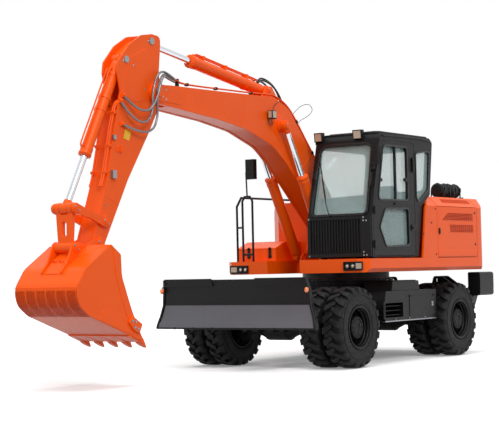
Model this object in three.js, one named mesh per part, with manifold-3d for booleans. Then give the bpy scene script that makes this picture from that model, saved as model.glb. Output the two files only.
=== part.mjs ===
// A wheeled excavator of the 14 t class: an undercarriage on two axles with twin tyres, a dozer blade in
// front and two stabilisers behind, and an upper structure that slews on it with cab, engine house,
// counterweight, boom, arm and bucket. Millimetres, X forward, Y left, Z up. While it is built, X = Y = 0
// is the slewing axis and Z = 0 the ground; at the end the whole group is centred on its own box.

import * as THREE from "three";
import { mergeVertices } from "three/addons/utils/BufferGeometryUtils.js";
import Module from "manifold-3d";

const wasm = await Module();
wasm.setup();

// ------------------------------------------------------------------ driving dimensions

const GAP = 0.3; // between solids that touch
const PIN_GAP = 0.3; // between a pin and its bore
const MOVE_GAP = 6; // between pieces that move past each other

// wheels and axles
const TYRE_RADIUS = 525;
const TYRE_WIDTH = 285;
const TWIN_PITCH = 350; // between the two tyres of one wheel
const OVERALL_WIDTH = 2500; // over the outer tyres
const RIM_RADIUS = 262;
const HUB_RADIUS = 145;
const HUB_RECESS = 45; // hub face behind the outer tyre's face
const WHEEL_SIDES = 20;
const FRONT_AXLE_X = 1700;
const REAR_AXLE_X = -1100;
const KINGPIN_Y = 600;
const KINGPIN_RADIUS = 30;
const SPINDLE_RADIUS = 55;
const AXLE_TUBE_RADIUS = 90;
const AXLE_NOSE = 205; // from the axle's middle to the face that takes the shaft
const SHAFT_Z = 500;

// chassis
const FRAME_HALF_WIDTH = 330;
const FRAME_TOP = 985;
const FRAME_BELLY = 580;
const FRONT_SEAT_Z = 760; // where the frame rests on the axles
const REAR_SEAT_Z = 790;
const FRAME_REAR_X = -1900;
const FRAME_FRONT_X = 2130;
const RING_RADIUS = 610;
const RING_BORE = 470;
const RING_BASE_Z = 1055;
const RING_SPLIT_Z = 1150;
const RING_SIDES = 24;
const SIDE_BOX_Y = 1150;
const SIDE_BOX_BOTTOM = 565;
const SIDE_BOX_TOP = 970;
const SIDE_BOX_REAR_X = -550;
const SIDE_BOX_FRONT_X = 900;

// dozer blade
const BLADE_HALF_WIDTH = 1250;
const BLADE_TOP_HALF_WIDTH = 1120;
const BLADE_BOTTOM = 540;
const BLADE_TOP = 1180;
const BLADE_X = 2700;
const BLADE_ARM_PIN = [2080, 560];
const BLADE_FRONT_PIN = [2615, 832];
const BLADE_LINK_RISE = 170; // upper link above the arms
const BLADE_ARM_Y = 215;
const BLADE_ARM_HALF = 35;
const BLADE_LINK_Y = 138;
const BLADE_LINK_HALF = 18;
const BLADE_CYLINDER_HALF = 50;
const BLADE_CYLINDER_BASE = [1990, 905];
const BLADE_CYLINDER_EYE = [2401, 723];

// stabilisers
const LEG_X = -2030;
const LEG_WIDTH = 150;
const LEG_PIN = [800, 420]; // Y, Z
const PAD_FACE_Y = 1220;
const PAD_BOTTOM = 840;
const PAD_TOP = 1190;
const PAD_LENGTH = 450;
const LEG_CYLINDER_BASE = [450, 1080];
const LEG_CYLINDER_EYE = [840, 620];

// upper structure
const DECK_BOTTOM = 1230;
const DECK_TOP = 1410;
const DECK_HALF_WIDTH = 1240;
const DECK_LEFT_FRONT_X = 1500;
const DECK_RIGHT_FRONT_X = 1250;
const BAY_REAR_X = 500;
const BAY_LEFT_Y = 200;
const BAY_RIGHT_Y = -500;
const HOUSE_FRONT_X = -470;
const HOUSE_REAR_X = -1705;
const COUNTERWEIGHT_X = -1713; // its front face
const DECK_REAR_X = COUNTERWEIGHT_X + GAP;
const HOOD_SWING_GAP = 15; // the hood's front edge sweeps forward as it lifts
const DOOR_RISE = 8; // engine doors above the deck
const HOUSE_TOP = 2280;
const HOUSE_CREASE = 2140;
const HOUSE_CREASE_INSET = 140;
const PANEL = 30; // sheet thickness of house panels, doors and lids with their stiffeners
const TAIL_X = -2140;
const TANK_TOP = 2250;
const TANK_FRONT_X = 300;
const TOOL_BOX_FRONT_X = 950;
const TOOL_BOX_TOP = 1575;
const TOOL_LID_TOP = 1690;

// cab
const CAB_INNER_Y = 200;
const CAB_OUTER_Y = 1200;
const CAB_WALL = 45;
const CAB_FLOOR = 1430;
const GLASS = 8;
const DOOR_GAP = 5;
const DOOR_THICKNESS = 36;

// boom, arm and bucket: X and Z in the working plane at Y = BOOM_Y
const BOOM_Y = -150;
const BOOM_FOOT = [130, 1730];
const ARM_PIVOT = [4229, 3438];
const BUCKET_PIVOT = [5310, 1630];
const BOOM_HALF_WIDTH = 170;
const ARM_HALF_WIDTH = 125;
const BUCKET_HALF_WIDTH = 466;
const PLATE = 25;
const PIN_RADIUS = 40;

// cylinders: base pin, rod pin, pin to gland
const BOOM_CYLINDER_BASE = [625, 1460];
const BOOM_CYLINDER_EYE = [1640, 3215];
const BOOM_CYLINDER_BARREL = 1270;
const BOOM_CYLINDER_Y = 260;
const BOOM_CYLINDER_RADIUS = 75;
const ARM_CYLINDER_RADIUS = 78;
const BRACKET = 35;
const ARM_CYLINDER_BASE = [1770, 3690];
const ARM_CYLINDER_EYE = [4279, 4067];
const ARM_CYLINDER_BARREL = 1640;
const BUCKET_CYLINDER_BASE = [4757, 3800];
const BUCKET_CYLINDER_EYE = [5715, 2028];
const BUCKET_CYLINDER_BARREL = 1325;
const IDLER_PIVOT = [5215, 1880];
const LINK_PIN = [5725, 1590];

// ------------------------------------------------------------------ materials

const paint = (color, roughness, metalness) =>
  new THREE.MeshStandardMaterial({ color, roughness, metalness });
const ORANGE = paint(0xf2570f, 0.4, 0.1);
const BLACK = paint(0x151517, 0.5, 0.1);
const GREY = paint(0x55585c, 0.5, 0.3);
const STEEL = paint(0x8d9094, 0.4, 0.8);
const CHROME = paint(0xd5d8dc, 0.12, 1.0);
const RUBBER = paint(0x1a1a1b, 0.9, 0.0);
const CLEAR = paint(0xb9dcd8, 0.1, 0.0);
const FABRIC = paint(0x2b2d31, 0.9, 0.0);

// ------------------------------------------------------------------ solids

function solid(geometry) {
  const bare = new THREE.BufferGeometry().setAttribute("position", geometry.getAttribute("position"));
  if (geometry.index) bare.setIndex(geometry.index);
  const merged = mergeVertices(bare, 1e-3);
  return new wasm.Manifold(
    new wasm.Mesh({
      numProp: 3,
      vertProperties: merged.attributes.position.array,
      triVerts: new Uint32Array(merged.index.array),
    }),
  );
}

function geometryOf(body) {
  const mesh = body.getMesh();
  return new THREE.BufferGeometry()
    .setAttribute("position", new THREE.BufferAttribute(new Float32Array(mesh.vertProperties), 3))
    .setIndex(new THREE.BufferAttribute(new Uint32Array(mesh.triVerts), 1))
    .toNonIndexed();
}

const join = (...bodies) => bodies.flat().reduce((sum, body) => sum.add(body));
const cut = (body, ...tools) => tools.flat().reduce((rest, tool) => rest.subtract(tool), body);

// A closed outline of corners [x, y] or [x, y, radius], where a radius rounds the corner with an arc.
function outline(corners) {
  const points = [];
  corners.forEach(([x, y, radius], i) => {
    const here = new THREE.Vector2(x, y);
    if (!radius) {
      points.push(here);
      return;
    }
    const before = corners.at(i - 1);
    const after = corners[(i + 1) % corners.length];
    const towards = new THREE.Vector2(before[0] - x, before[1] - y).normalize();
    const away = new THREE.Vector2(after[0] - x, after[1] - y).normalize();
    const half = Math.acos(THREE.MathUtils.clamp(towards.dot(away), -1, 1)) / 2;
    const centre = towards.clone().add(away).normalize().multiplyScalar(radius / Math.sin(half)).add(here);
    const start = towards.clone().multiplyScalar(radius / Math.tan(half)).add(here).sub(centre);
    const turn = Math.PI - 2 * half;
    const side = -Math.sign(towards.cross(away)) || 1;
    const steps = Math.max(2, Math.ceil(turn / 0.6));
    for (let k = 0; k <= steps; k++) {
      const point = start.clone().rotateAround(new THREE.Vector2(), (side * turn * k) / steps);
      points.push(point.add(centre));
    }
  });
  return points;
}

// An outline pushed along a third axis. The three columns are the world directions of the outline's
// first and second coordinate and of the push.
function extruded(corners, from, to, first, second, push) {
  const points = Array.isArray(corners[0]) ? outline(corners) : corners;
  const geometry = new THREE.ExtrudeGeometry(new THREE.Shape(points), {
    depth: to - from,
    bevelEnabled: false,
  });
  geometry.translate(0, 0, from);
  return solid(geometry.applyMatrix4(new THREE.Matrix4().makeBasis(first, second, push)));
}

const X = new THREE.Vector3(1, 0, 0);
const Y = new THREE.Vector3(0, 1, 0);
const Z = new THREE.Vector3(0, 0, 1);

const plate = (xz, y0, y1) => extruded(xz, -y1, -y0, X, Z, Y.clone().negate());
const slab = (xy, z0, z1) => extruded(xy, z0, z1, X, Y, Z);
const section = (yz, x0, x1) => extruded(yz, x0, x1, Y, Z, X);

function box(x0, x1, y0, y1, z0, z1) {
  const geometry = new THREE.BoxGeometry(x1 - x0, y1 - y0, z1 - z0);
  return solid(geometry.translate((x0 + x1) / 2, (y0 + y1) / 2, (z0 + z1) / 2));
}

// A round bar from one point to another.
function bar(from, to, radius, sides = 12, endRadius = radius, turn = 0) {
  const start = new THREE.Vector3(...from);
  const along = new THREE.Vector3(...to).sub(start);
  const length = along.length();
  const geometry = new THREE.CylinderGeometry(endRadius, radius, length, sides).rotateY(turn).translate(0,
    length / 2, 0);
  geometry.applyQuaternion(new THREE.Quaternion().setFromUnitVectors(Y, along.normalize()));
  return solid(geometry.translate(start.x, start.y, start.z));
}

const barY = ([x, z], y0, y1, radius, sides) => bar([x, y0, z], [x, y1, z], radius, sides);

// A round tube through a list of points, mitred where its straight lengths meet.
function railing(points, radius, sides = 6) {
  const path = points.map((point) => new THREE.Vector3(...point));
  const heading = path.slice(1).map((point, i) => point.clone().sub(path[i]).normalize());
  const turn = new THREE.Quaternion().setFromUnitVectors(new THREE.Vector3(0, 0, 1), heading[0]);
  const rings = [Array.from({ length: sides }, (_, k) => {
    const angle = (2 * Math.PI * (k + 0.5)) / sides;
    return new THREE.Vector3(radius * Math.cos(angle), radius * Math.sin(angle),
      0).applyQuaternion(turn).add(path[0]);
  })];
  heading.forEach((along, i) => {
    const normal = i + 1 < heading.length ? along.clone().add(heading[i + 1]) : along;
    rings.push(rings[i].map((corner) => {
      const distance = path[i + 1].clone().sub(corner).dot(normal) / along.dot(normal);
      return corner.clone().addScaledVector(along, distance);
    }));
  });
  const faces = [];
  for (let k = 1; k < sides - 1; k++) {
    const end = (rings.length - 1) * sides;
    faces.push(0, k + 1, k, end, end + k, end + k + 1);
  }
  rings.slice(1).forEach((_, i) => {
    for (let k = 0; k < sides; k++) {
      const a = i * sides + k;
      const b = i * sides + ((k + 1) % sides);
      faces.push(a, b, b + sides, a, b + sides, a + sides);
    }
  });
  const geometry = new THREE.BufferGeometry();
  geometry.setAttribute("position",
    new THREE.Float32BufferAttribute(rings.flat().flatMap((v) => v.toArray()), 3));
  geometry.setIndex(faces);
  return solid(geometry);
}

// A solid of revolution about Y, from [radius, y] corners that close on themselves.
function turned(profile, sides = WHEEL_SIDES) {
  const closed = [...profile, profile[0]].map(([radius, y]) => new THREE.Vector2(radius, y));
  const geometry = new THREE.LatheGeometry(closed, sides);
  const body = solid(geometry);
  if (body.volume() > 0) return body;
  const reversed = new THREE.LatheGeometry(closed.slice().reverse(), sides);
  return solid(reversed);
}

// A regular polygon with its flats at the given distance from its centre has corners this far out.
const cornerRadius = (flat, sides) => flat / Math.cos(Math.PI / sides);

// A hole that a pin of this radius turns in freely: its flats face the pin's corners.
const PIN_SIDES = 12;
const hole = (from, to, radius, sides = PIN_SIDES) => {
  const corner = cornerRadius(radius + PIN_GAP, sides);
  return bar(from, to, corner, sides, corner, Math.PI / sides);
};
const bore = ([x, z], radius) => hole([x, -700, z], [x, 700, z], radius);

// Corners of an arc, for outlines, from one angle to another in degrees.
function arc([x, z], radius, from, to, steps = 6) {
  return Array.from({ length: steps + 1 }, (_, k) => {
    const angle = THREE.MathUtils.degToRad(from + ((to - from) * k) / steps);
    return [x + radius * Math.cos(angle), z + radius * Math.sin(angle)];
  });
}

const mirrored = (body) => body.mirror([0, 1, 0]);

// ------------------------------------------------------------------ scene graph

const machine = new THREE.Group();
const upper = new THREE.Group();
machine.add(upper);

// A named sub-part. Its solid is drawn in machine coordinates and stored about the pivot of its group.
function node(name, body, material, parent = machine) {
  const pivot = parent.userData.pivot ?? new THREE.Vector3();
  const geometry = geometryOf(body).translate(-pivot.x, -pivot.y, -pivot.z);
  geometry.computeVertexNormals();
  const mesh = new THREE.Mesh(geometry, material);
  mesh.name = name;
  parent.add(mesh);
  return mesh;
}

// A group whose origin is a joint of the machine, given in machine coordinates.
function jointed(parent, x, y, z) {
  const group = new THREE.Group();
  const outer = parent.userData.pivot ?? new THREE.Vector3();
  group.userData.pivot = new THREE.Vector3(x, y, z);
  group.position.set(x, y, z).sub(outer);
  parent.add(group);
  return group;
}

// ------------------------------------------------------------------ undercarriage

const TWIN_CENTRE_Y = OVERALL_WIDTH / 2 - TYRE_WIDTH / 2 - TWIN_PITCH / 2;
const SPINDLE_END_Y = TWIN_CENTRE_Y + 190;
const FORK_HALF_OPENING = 112;

function chassisFrame() {
  const side = [
    [FRAME_REAR_X, 700],
    [REAR_AXLE_X - 220, 700],
    [REAR_AXLE_X - 150, REAR_SEAT_Z],
    [REAR_AXLE_X + 150, REAR_SEAT_Z],
    [REAR_AXLE_X + 260, FRAME_BELLY],
    [FRONT_AXLE_X - 330, FRAME_BELLY],
    [FRONT_AXLE_X - 220, FRONT_SEAT_Z],
    [FRONT_AXLE_X + 220, FRONT_SEAT_Z],
    [FRONT_AXLE_X + 260, 640],
    [1990, 480],
    [FRAME_FRONT_X - 20, 480],
    [FRAME_FRONT_X, 600],
    [FRAME_FRONT_X, 800],
    [1990, 860],
    [FRONT_AXLE_X - 300, FRAME_TOP - 25],
    [RING_RADIUS + 60, FRAME_TOP],
    [-RING_RADIUS - 60, FRAME_TOP],
    [FRAME_REAR_X, 940],
  ];
  const body = plate(side, -FRAME_HALF_WIDTH, FRAME_HALF_WIDTH);
  const mount = bar([0, 0, FRAME_TOP - 5], [0, 0, RING_BASE_Z], RING_RADIUS + 25, RING_SIDES);
  // rear beam with the two plates that hold the stabilisers
  const beam = box(LEG_X - 140, FRAME_REAR_X + 5, -FRAME_HALF_WIDTH, FRAME_HALF_WIDTH, 640, 960);
  const wing = [
    [0, 640], [560, 600], [LEG_PIN[0] - 95, LEG_PIN[1] + 10], [LEG_PIN[0] - 60, LEG_PIN[1] - 80],
    [LEG_PIN[0] + 20, LEG_PIN[1] - 90], [LEG_PIN[0] + 85, LEG_PIN[1] - 20], [LEG_PIN[0] + 60, 520],
    [720, 1000], [LEG_CYLINDER_BASE[0] + 70, LEG_CYLINDER_BASE[1] + 60, 40],
    [LEG_CYLINDER_BASE[0] - 70, LEG_CYLINDER_BASE[1] + 60, 40], [330, 960], [0, 960],
  ];
  const half = LEG_WIDTH / 2 + MOVE_GAP;
  const bores = [LEG_PIN, LEG_CYLINDER_BASE].map(([y, z]) =>
    hole([LEG_X - 200, y, z], [LEG_X + 200, y, z], KINGPIN_RADIUS));
  const wings = [LEG_X - half - PLATE, LEG_X + half].map((x) => cut(section(wing, x, x + PLATE), bores));
  // the nose: slots for the arms, the two upper links and the cylinder, with their pins across it
  const upperPin = [BLADE_ARM_PIN[0], BLADE_ARM_PIN[1] + BLADE_LINK_RISE];
  const cylinderLug = (y) => plate(
    [[BLADE_CYLINDER_BASE[0] - 120, 850], [BLADE_CYLINDER_BASE[0] - 50, BLADE_CYLINDER_BASE[1] + 45],
      [BLADE_CYLINDER_BASE[0] + 45, BLADE_CYLINDER_BASE[1] + 45], [BLADE_CYLINDER_BASE[0] + 60, 800],
      [BLADE_CYLINDER_BASE[0] - 120, 800]], y, y + PLATE);
  const slot = (x, y, half, z0, z1) => box(x, 2400, y - half - MOVE_GAP, y + half + MOVE_GAP, z0, z1);
  const slots = [
    ...[1, -1].map((s) => slot(BLADE_ARM_PIN[0] - 95, s * BLADE_ARM_Y, BLADE_ARM_HALF, 400, 655)),
    ...[1, -1].map((s) => slot(upperPin[0] - 75, s * BLADE_LINK_Y, BLADE_LINK_HALF, upperPin[1] - 90, 1000)),
    slot(BLADE_CYLINDER_BASE[0] - 60, 0, BLADE_CYLINDER_HALF, 745, 1200),
    slot(BLADE_CYLINDER_BASE[0] + 15, 0, BLADE_CYLINDER_HALF + 12, 470, 1200),
  ];
  const frontBores = [BLADE_ARM_PIN, upperPin, BLADE_CYLINDER_BASE].map((pin) => bore(pin, KINGPIN_RADIUS));
  const lugs = [1,
    -1].map((s) => cylinderLug(s > 0 ? BLADE_CYLINDER_HALF + MOVE_GAP : -BLADE_CYLINDER_HALF - MOVE_GAP - PLATE));
  const all = join(body, mount, beam, wings, mirrored(wings[0]), mirrored(wings[1]), lugs);
  const axleSeats = [FRONT_AXLE_X, REAR_AXLE_X].map((x) =>
    bar([x, -FRAME_HALF_WIDTH - 1, 525], [x, FRAME_HALF_WIDTH + 1, 525], 225, 16));
  return cut(all, slots, frontBores, axleSeats);
}

function axle(x, ends, inward, seatTop) {
  const z = TYRE_RADIUS;
  const tube = bar([x, -ends, z], [x, ends, z], AXLE_TUBE_RADIUS, 12);
  const bowl = bar([x, -170, z], [x, 170, z], 175, 16);
  const cones = [1, -1].map((side) => bar([x, 165 * side, z], [x, 330 * side, z], 165, 16, AXLE_TUBE_RADIUS));
  // pads on top carry the frame
  const seat = box(x - 110, x + 110, -300, 300, z + 60, seatTop - GAP);
  const nose = bar([x + inward * 120, 0, SHAFT_Z], [x + inward * AXLE_NOSE, 0, SHAFT_Z], 75, 10);
  return join(tube, bowl, cones, seat, nose);
}

function frontAxle() {
  const x = FRONT_AXLE_X;
  const lugs = [1, -1].flatMap((side) => {
    const back = box(x - 65, x + 65, Math.min(side * 430, side * 505), Math.max(side * 430, side * 505),
      TYRE_RADIUS - 165, TYRE_RADIUS + 165);
    const ears = [1, -1].map((up) => {
      const z0 = TYRE_RADIUS + up * FORK_HALF_OPENING;
      const z1 = TYRE_RADIUS + up * 165;
      return box(x - 60, x + 60, Math.min(side * 440, side * 650), Math.max(side * 440, side * 650),
        Math.min(z0, z1), Math.max(z0, z1));
    });
    return [back, ...ears];
  });
  const bores = [1, -1].map((side) =>
    hole([x, side * KINGPIN_Y, 200], [x, side * KINGPIN_Y, 900], KINGPIN_RADIUS));
  return cut(join(axle(x, 480, -1, FRONT_SEAT_Z), lugs), bores);
}

function knuckle(side) {
  const x = FRONT_AXLE_X;
  const z = TYRE_RADIUS;
  const body = box(x - 62, x + 62, Math.min(side * 545, side * 665), Math.max(side * 545, side * 665),
    z - FORK_HALF_OPENING + 5, z + FORK_HALF_OPENING - 5);
  const pin = bar([x, side * KINGPIN_Y, z - 172], [x, side * KINGPIN_Y, z + 172], KINGPIN_RADIUS, PIN_SIDES);
  const spindle = bar([x, side * 660, z], [x, side * SPINDLE_END_Y, z], SPINDLE_RADIUS, 16);
  const arm = plate([[x - 200, z - 60], [x - 40, z - 90], [x - 40, z - 30], [x - 200, z - 30]],
    Math.min(side * 560, side * 600), Math.max(side * 560, side * 600));
  return join(body, pin, spindle, arm);
}

function rearAxle() {
  const x = REAR_AXLE_X;
  const spindles = [1, -1].map((side) =>
    bar([x, side * 560, TYRE_RADIUS], [x, side * SPINDLE_END_Y, TYRE_RADIUS], SPINDLE_RADIUS, 16));
  return join(axle(x, 600, 1, REAR_SEAT_Z), spindles);
}

// Both tyres of a wheel with the spacer between them, about the Y axis.
function twinTyres() {
  const out = cornerRadius(TYRE_RADIUS, WHEEL_SIDES);
  const half = TYRE_WIDTH / 2;
  const tyre = (middle) => turned([
    [RIM_RADIUS + PIN_GAP, middle - half + 28], [400, middle - half], [out - 40, middle - half + 6],
    [out, middle - half + 38], [out, middle + half - 38], [out - 40, middle + half - 6], [400, middle + half],
    [RIM_RADIUS + PIN_GAP, middle + half - 28],
  ]);
  const gap = (TWIN_PITCH - TYRE_WIDTH) / 2;
  const spacer = turned([[290, -gap - 25], [320, -gap - 25], [320, gap + 25], [290, gap + 25]]);
  return join(tyre(-TWIN_PITCH / 2), tyre(TWIN_PITCH / 2), spacer);
}

// Both rims with their hub, about the Y axis, the outer side at positive Y.
function rims() {
  const edge = TWIN_PITCH / 2 + TYRE_WIDTH / 2 - 22;
  const hubFace = TWIN_PITCH / 2 + TYRE_WIDTH / 2 - HUB_RECESS;
  const hubBack = -240;
  const bore = cornerRadius(SPINDLE_RADIUS + PIN_GAP, WHEEL_SIDES);
  return join(
    turned([[RIM_RADIUS - 22, -edge], [RIM_RADIUS, -edge], [RIM_RADIUS, edge], [RIM_RADIUS - 22, edge]]),
    turned([[bore, -40], [RIM_RADIUS - 15, -40], [RIM_RADIUS - 15, -12], [bore, -12]]),
    turned([[bore, hubBack], [HUB_RADIUS - 25, hubBack], [HUB_RADIUS, -20], [HUB_RADIUS, hubFace - 12],
      [HUB_RADIUS - 12, hubFace], [0, hubFace], [0, hubFace - 40], [bore, hubFace - 40]]),
  );
}

function wheel(name, x, side, parent) {
  const group = jointed(parent, x, side * TWIN_CENTRE_Y, TYRE_RADIUS);
  const spin = new THREE.Group();
  spin.rotation.set(side > 0 ? 0 : Math.PI, 0, 0);
  spin.rotateY(Math.PI / WHEEL_SIDES);
  group.add(spin);
  node(name + "_tyres", twinTyres(), RUBBER, spin);
  node(name + "_rims", rims(), BLACK, spin);
}

function transmission() {
  const gearbox = box(-420, 120, -230, 230, 340, FRAME_BELLY - GAP);
  const shafts = [
    bar([110, 0, SHAFT_Z], [FRONT_AXLE_X - AXLE_NOSE - GAP, 0, SHAFT_Z], 42, 10),
    bar([-410, 0, SHAFT_Z], [REAR_AXLE_X + AXLE_NOSE + GAP, 0, SHAFT_Z], 42, 10),
  ];
  return join(gearbox, shafts);
}

const SIDE_BOX_INNER_Y = FRAME_HALF_WIDTH + GAP;

function sideBox() {
  const body = plate([[SIDE_BOX_REAR_X, SIDE_BOX_BOTTOM], [SIDE_BOX_FRONT_X, SIDE_BOX_BOTTOM],
    [SIDE_BOX_FRONT_X, 820],
    [SIDE_BOX_FRONT_X - 40, SIDE_BOX_TOP], [SIDE_BOX_REAR_X, SIDE_BOX_TOP]], SIDE_BOX_INNER_Y, SIDE_BOX_Y);
  const hump = plate([[-110, SIDE_BOX_TOP - 5], [670, SIDE_BOX_TOP - 5], [640, 1100], [-80, 1100]], 690,
    SIDE_BOX_Y - 20);
  const step = box(410, 880, 900, SIDE_BOX_Y + 1, 600, 820);
  return cut(join(body, hump), step);
}

function slewRing() {
  return bar([0, 0, RING_BASE_Z + GAP], [0, 0, RING_SPLIT_Z], RING_RADIUS, RING_SIDES)
    .subtract(bar([0, 0, 1000], [0, 0, 1300], RING_BORE, RING_SIDES));
}

function bladeArms() {
  const [x0, z0] = BLADE_ARM_PIN;
  const [x1, z1] = BLADE_FRONT_PIN;
  const [ex, ez] = BLADE_CYLINDER_EYE;
  const half = BLADE_ARM_HALF;
  const sides = [1, -1];
  const arms = sides.map((s) => plate([...arc([x0, z0], 62, 117, 297, 4), ...arc([x1, z1], 50, -63, 117, 4)],
    s * BLADE_ARM_Y - half, s * BLADE_ARM_Y + half));
  // the cross tube lies behind the cylinder's eye and carries its two lugs
  const tube = bar([ex - 75, -BLADE_ARM_Y, ez - 85], [ex - 75, BLADE_ARM_Y, ez - 85], 45, 10);
  const lugs = sides.map((s) => plate([[ex - 110, ez - 80], [ex - 60, ez - 125], [ex + 45, ez - 10],
    [ex + 30, ez + 35],
    [ex - 30, ez + 35]], s > 0 ? BLADE_CYLINDER_HALF + MOVE_GAP : -BLADE_CYLINDER_HALF - MOVE_GAP - 20,
  s > 0 ? BLADE_CYLINDER_HALF + MOVE_GAP + 20 : -BLADE_CYLINDER_HALF - MOVE_GAP));
  const pins = sides.flatMap((s) => [BLADE_ARM_PIN, BLADE_FRONT_PIN].map((pin) =>
    barY(pin, s * BLADE_ARM_Y - half - 36, s * BLADE_ARM_Y + half + 36, KINGPIN_RADIUS, PIN_SIDES)));
  return join(arms, tube, lugs, pins);
}

// Two upper links on one pin at the blade; stub pins hold them in the chassis.
function bladeTopLink() {
  const a = [BLADE_ARM_PIN[0], BLADE_ARM_PIN[1] + BLADE_LINK_RISE];
  const b = [BLADE_FRONT_PIN[0], BLADE_FRONT_PIN[1] + BLADE_LINK_RISE];
  const plates = [1, -1].flatMap((s) => [
    plate([...arc(a, 48, 117, 297, 4), ...arc(b, 48, -63, 117, 4)],
      s * BLADE_LINK_Y - BLADE_LINK_HALF, s * BLADE_LINK_Y + BLADE_LINK_HALF),
    barY(a, s * BLADE_LINK_Y - BLADE_LINK_HALF - 30, s * BLADE_LINK_Y + BLADE_LINK_HALF + 16,
      KINGPIN_RADIUS, PIN_SIDES),
  ]);
  const pin = barY(b, -BLADE_LINK_Y - 60, BLADE_LINK_Y + 60, KINGPIN_RADIUS, PIN_SIDES);
  return join(plates, pin);
}

function dozerBlade() {
  const x = BLADE_X;
  const shape = [
    [x + 10, BLADE_BOTTOM], [x + 60, BLADE_BOTTOM], [x + 62, BLADE_BOTTOM + 30], [x + 30, BLADE_BOTTOM + 160],
    [x + 18, 850], [x + 30, BLADE_TOP - 120], [x + 60, BLADE_TOP], [x + 30, BLADE_TOP], [x - 10,
      BLADE_TOP - 120],
    [x - 24, 850], [x - 12, BLADE_BOTTOM + 160],
  ];
  const front = [
    [-BLADE_HALF_WIDTH, BLADE_BOTTOM - 1], [BLADE_HALF_WIDTH, BLADE_BOTTOM - 1], [BLADE_HALF_WIDTH,
      BLADE_BOTTOM + 35],
    [BLADE_TOP_HALF_WIDTH + 45, 850], [BLADE_TOP_HALF_WIDTH + 30, 1030], [BLADE_TOP_HALF_WIDTH,
      BLADE_TOP + 1],
    [315, BLADE_TOP + 1], [300, 1105], [-300, 1105], [-315, BLADE_TOP + 1], [-BLADE_TOP_HALF_WIDTH,
      BLADE_TOP + 1],
    [-BLADE_TOP_HALF_WIDTH - 30, 1030], [-BLADE_TOP_HALF_WIDTH - 45, 850], [-BLADE_HALF_WIDTH,
      BLADE_BOTTOM + 35],
  ];
  const sheet = plate(shape, -BLADE_HALF_WIDTH, BLADE_HALF_WIDTH).intersect(section(front, x - 200, x + 200));
  const b = [BLADE_FRONT_PIN[0], BLADE_FRONT_PIN[1] + BLADE_LINK_RISE];
  const ear = (pin, y, wide) => plate([[x - 5, pin[1] - 75], [x - 5, pin[1] + 75], [pin[0], pin[1] + 52],
    [pin[0] - 45, pin[1] + 30], [pin[0] - 45, pin[1] - 30], [pin[0], pin[1] - 52]], y, y + wide);
  const beside = (pin, y, half) => [ear(pin, y - half - MOVE_GAP - PLATE, PLATE), ear(pin,
    y + half + MOVE_GAP, PLATE)];
  const ears = [1, -1].flatMap((s) => [
    ...beside(BLADE_FRONT_PIN, s * BLADE_ARM_Y, BLADE_ARM_HALF),
    ear(b, s > 0 ? BLADE_LINK_Y + BLADE_LINK_HALF + MOVE_GAP : -BLADE_LINK_Y - BLADE_LINK_HALF - MOVE_GAP - PLATE, PLATE),
    ear(b, s > 0 ? BLADE_LINK_Y - BLADE_LINK_HALF - MOVE_GAP - PLATE : -BLADE_LINK_Y + BLADE_LINK_HALF + MOVE_GAP, PLATE),
  ]);
  const ribs = [650, -650].map((y) => plate([[x - 90, 660], [x - 5, 600], [x - 5, 1060], [x - 90, 1000]],
    y - 15, y + 15));
  const beam = box(x - 70, x - 8, -700, 700, 640, 720);
  const bores = [BLADE_FRONT_PIN, b].map((pin) => bore(pin, KINGPIN_RADIUS));
  return cut(join(sheet, ears, ribs, beam), bores);
}

// ------------------------------------------------------------------ hydraulic cylinders

const GLAND = 8; // the barrel's head stands out by this much

// A barrel along +X from its base pin at the origin, bored for its rod. Widths are across the pins.
function barrel({ length, radius, rodRadius, eyeRadius, eyeWidth, pinHalf = 0, pinRadius = KINGPIN_RADIUS }) {
  const eye = bar([0, -eyeWidth / 2, 0], [0, eyeWidth / 2, 0], eyeRadius, 12);
  const tube = bar([0, 0, 0], [length - 30, 0, 0], radius, 12);
  const head = bar([length - 95, 0, 0], [length, 0, 0], radius + GLAND, 12);
  const drilled = bar([eyeRadius + 30, 0, 0], [length + 5, 0, 0], rodRadius + PIN_GAP, 12);
  const parts = [tube, head, eye];
  if (pinHalf) parts.push(bar([0, -pinHalf, 0], [0, pinHalf, 0], pinRadius, PIN_SIDES));
  return cut(join(parts), drilled);
}

// The rod of that barrel, at a pin distance of "reach", with a stretch of it left inside.
function rod({ reach, inside, rodRadius, eyeRadius, eyeWidth, capWidth = 0 }) {
  const stem = bar([inside, 0, 0], [reach, 0, 0], rodRadius, 12);
  const eye = bar([reach, -eyeWidth / 2, 0], [reach, eyeWidth / 2, 0], eyeRadius, 12);
  const collar = bar([reach - eyeRadius - 30, 0, 0], [reach, 0, 0], rodRadius + 4, 12);
  const parts = [stem, eye, collar];
  if (capWidth) parts.push(bar([reach, -capWidth / 2, 0], [reach, capWidth / 2, 0], eyeRadius * 0.6, 12));
  return join(parts);
}

// A group at the base pin, with its X axis turned in the XZ plane towards the rod pin.
function aimed(parent, base, eye, y) {
  const group = jointed(parent, base[0], y, base[1]);
  group.rotation.y = -Math.atan2(eye[1] - base[1], eye[0] - base[0]);
  group.userData.pivot = new THREE.Vector3();
  return group;
}

const distance = (a, b) => Math.hypot(a[0] - b[0], a[1] - b[1]);

// ------------------------------------------------------------------ stabilisers

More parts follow.
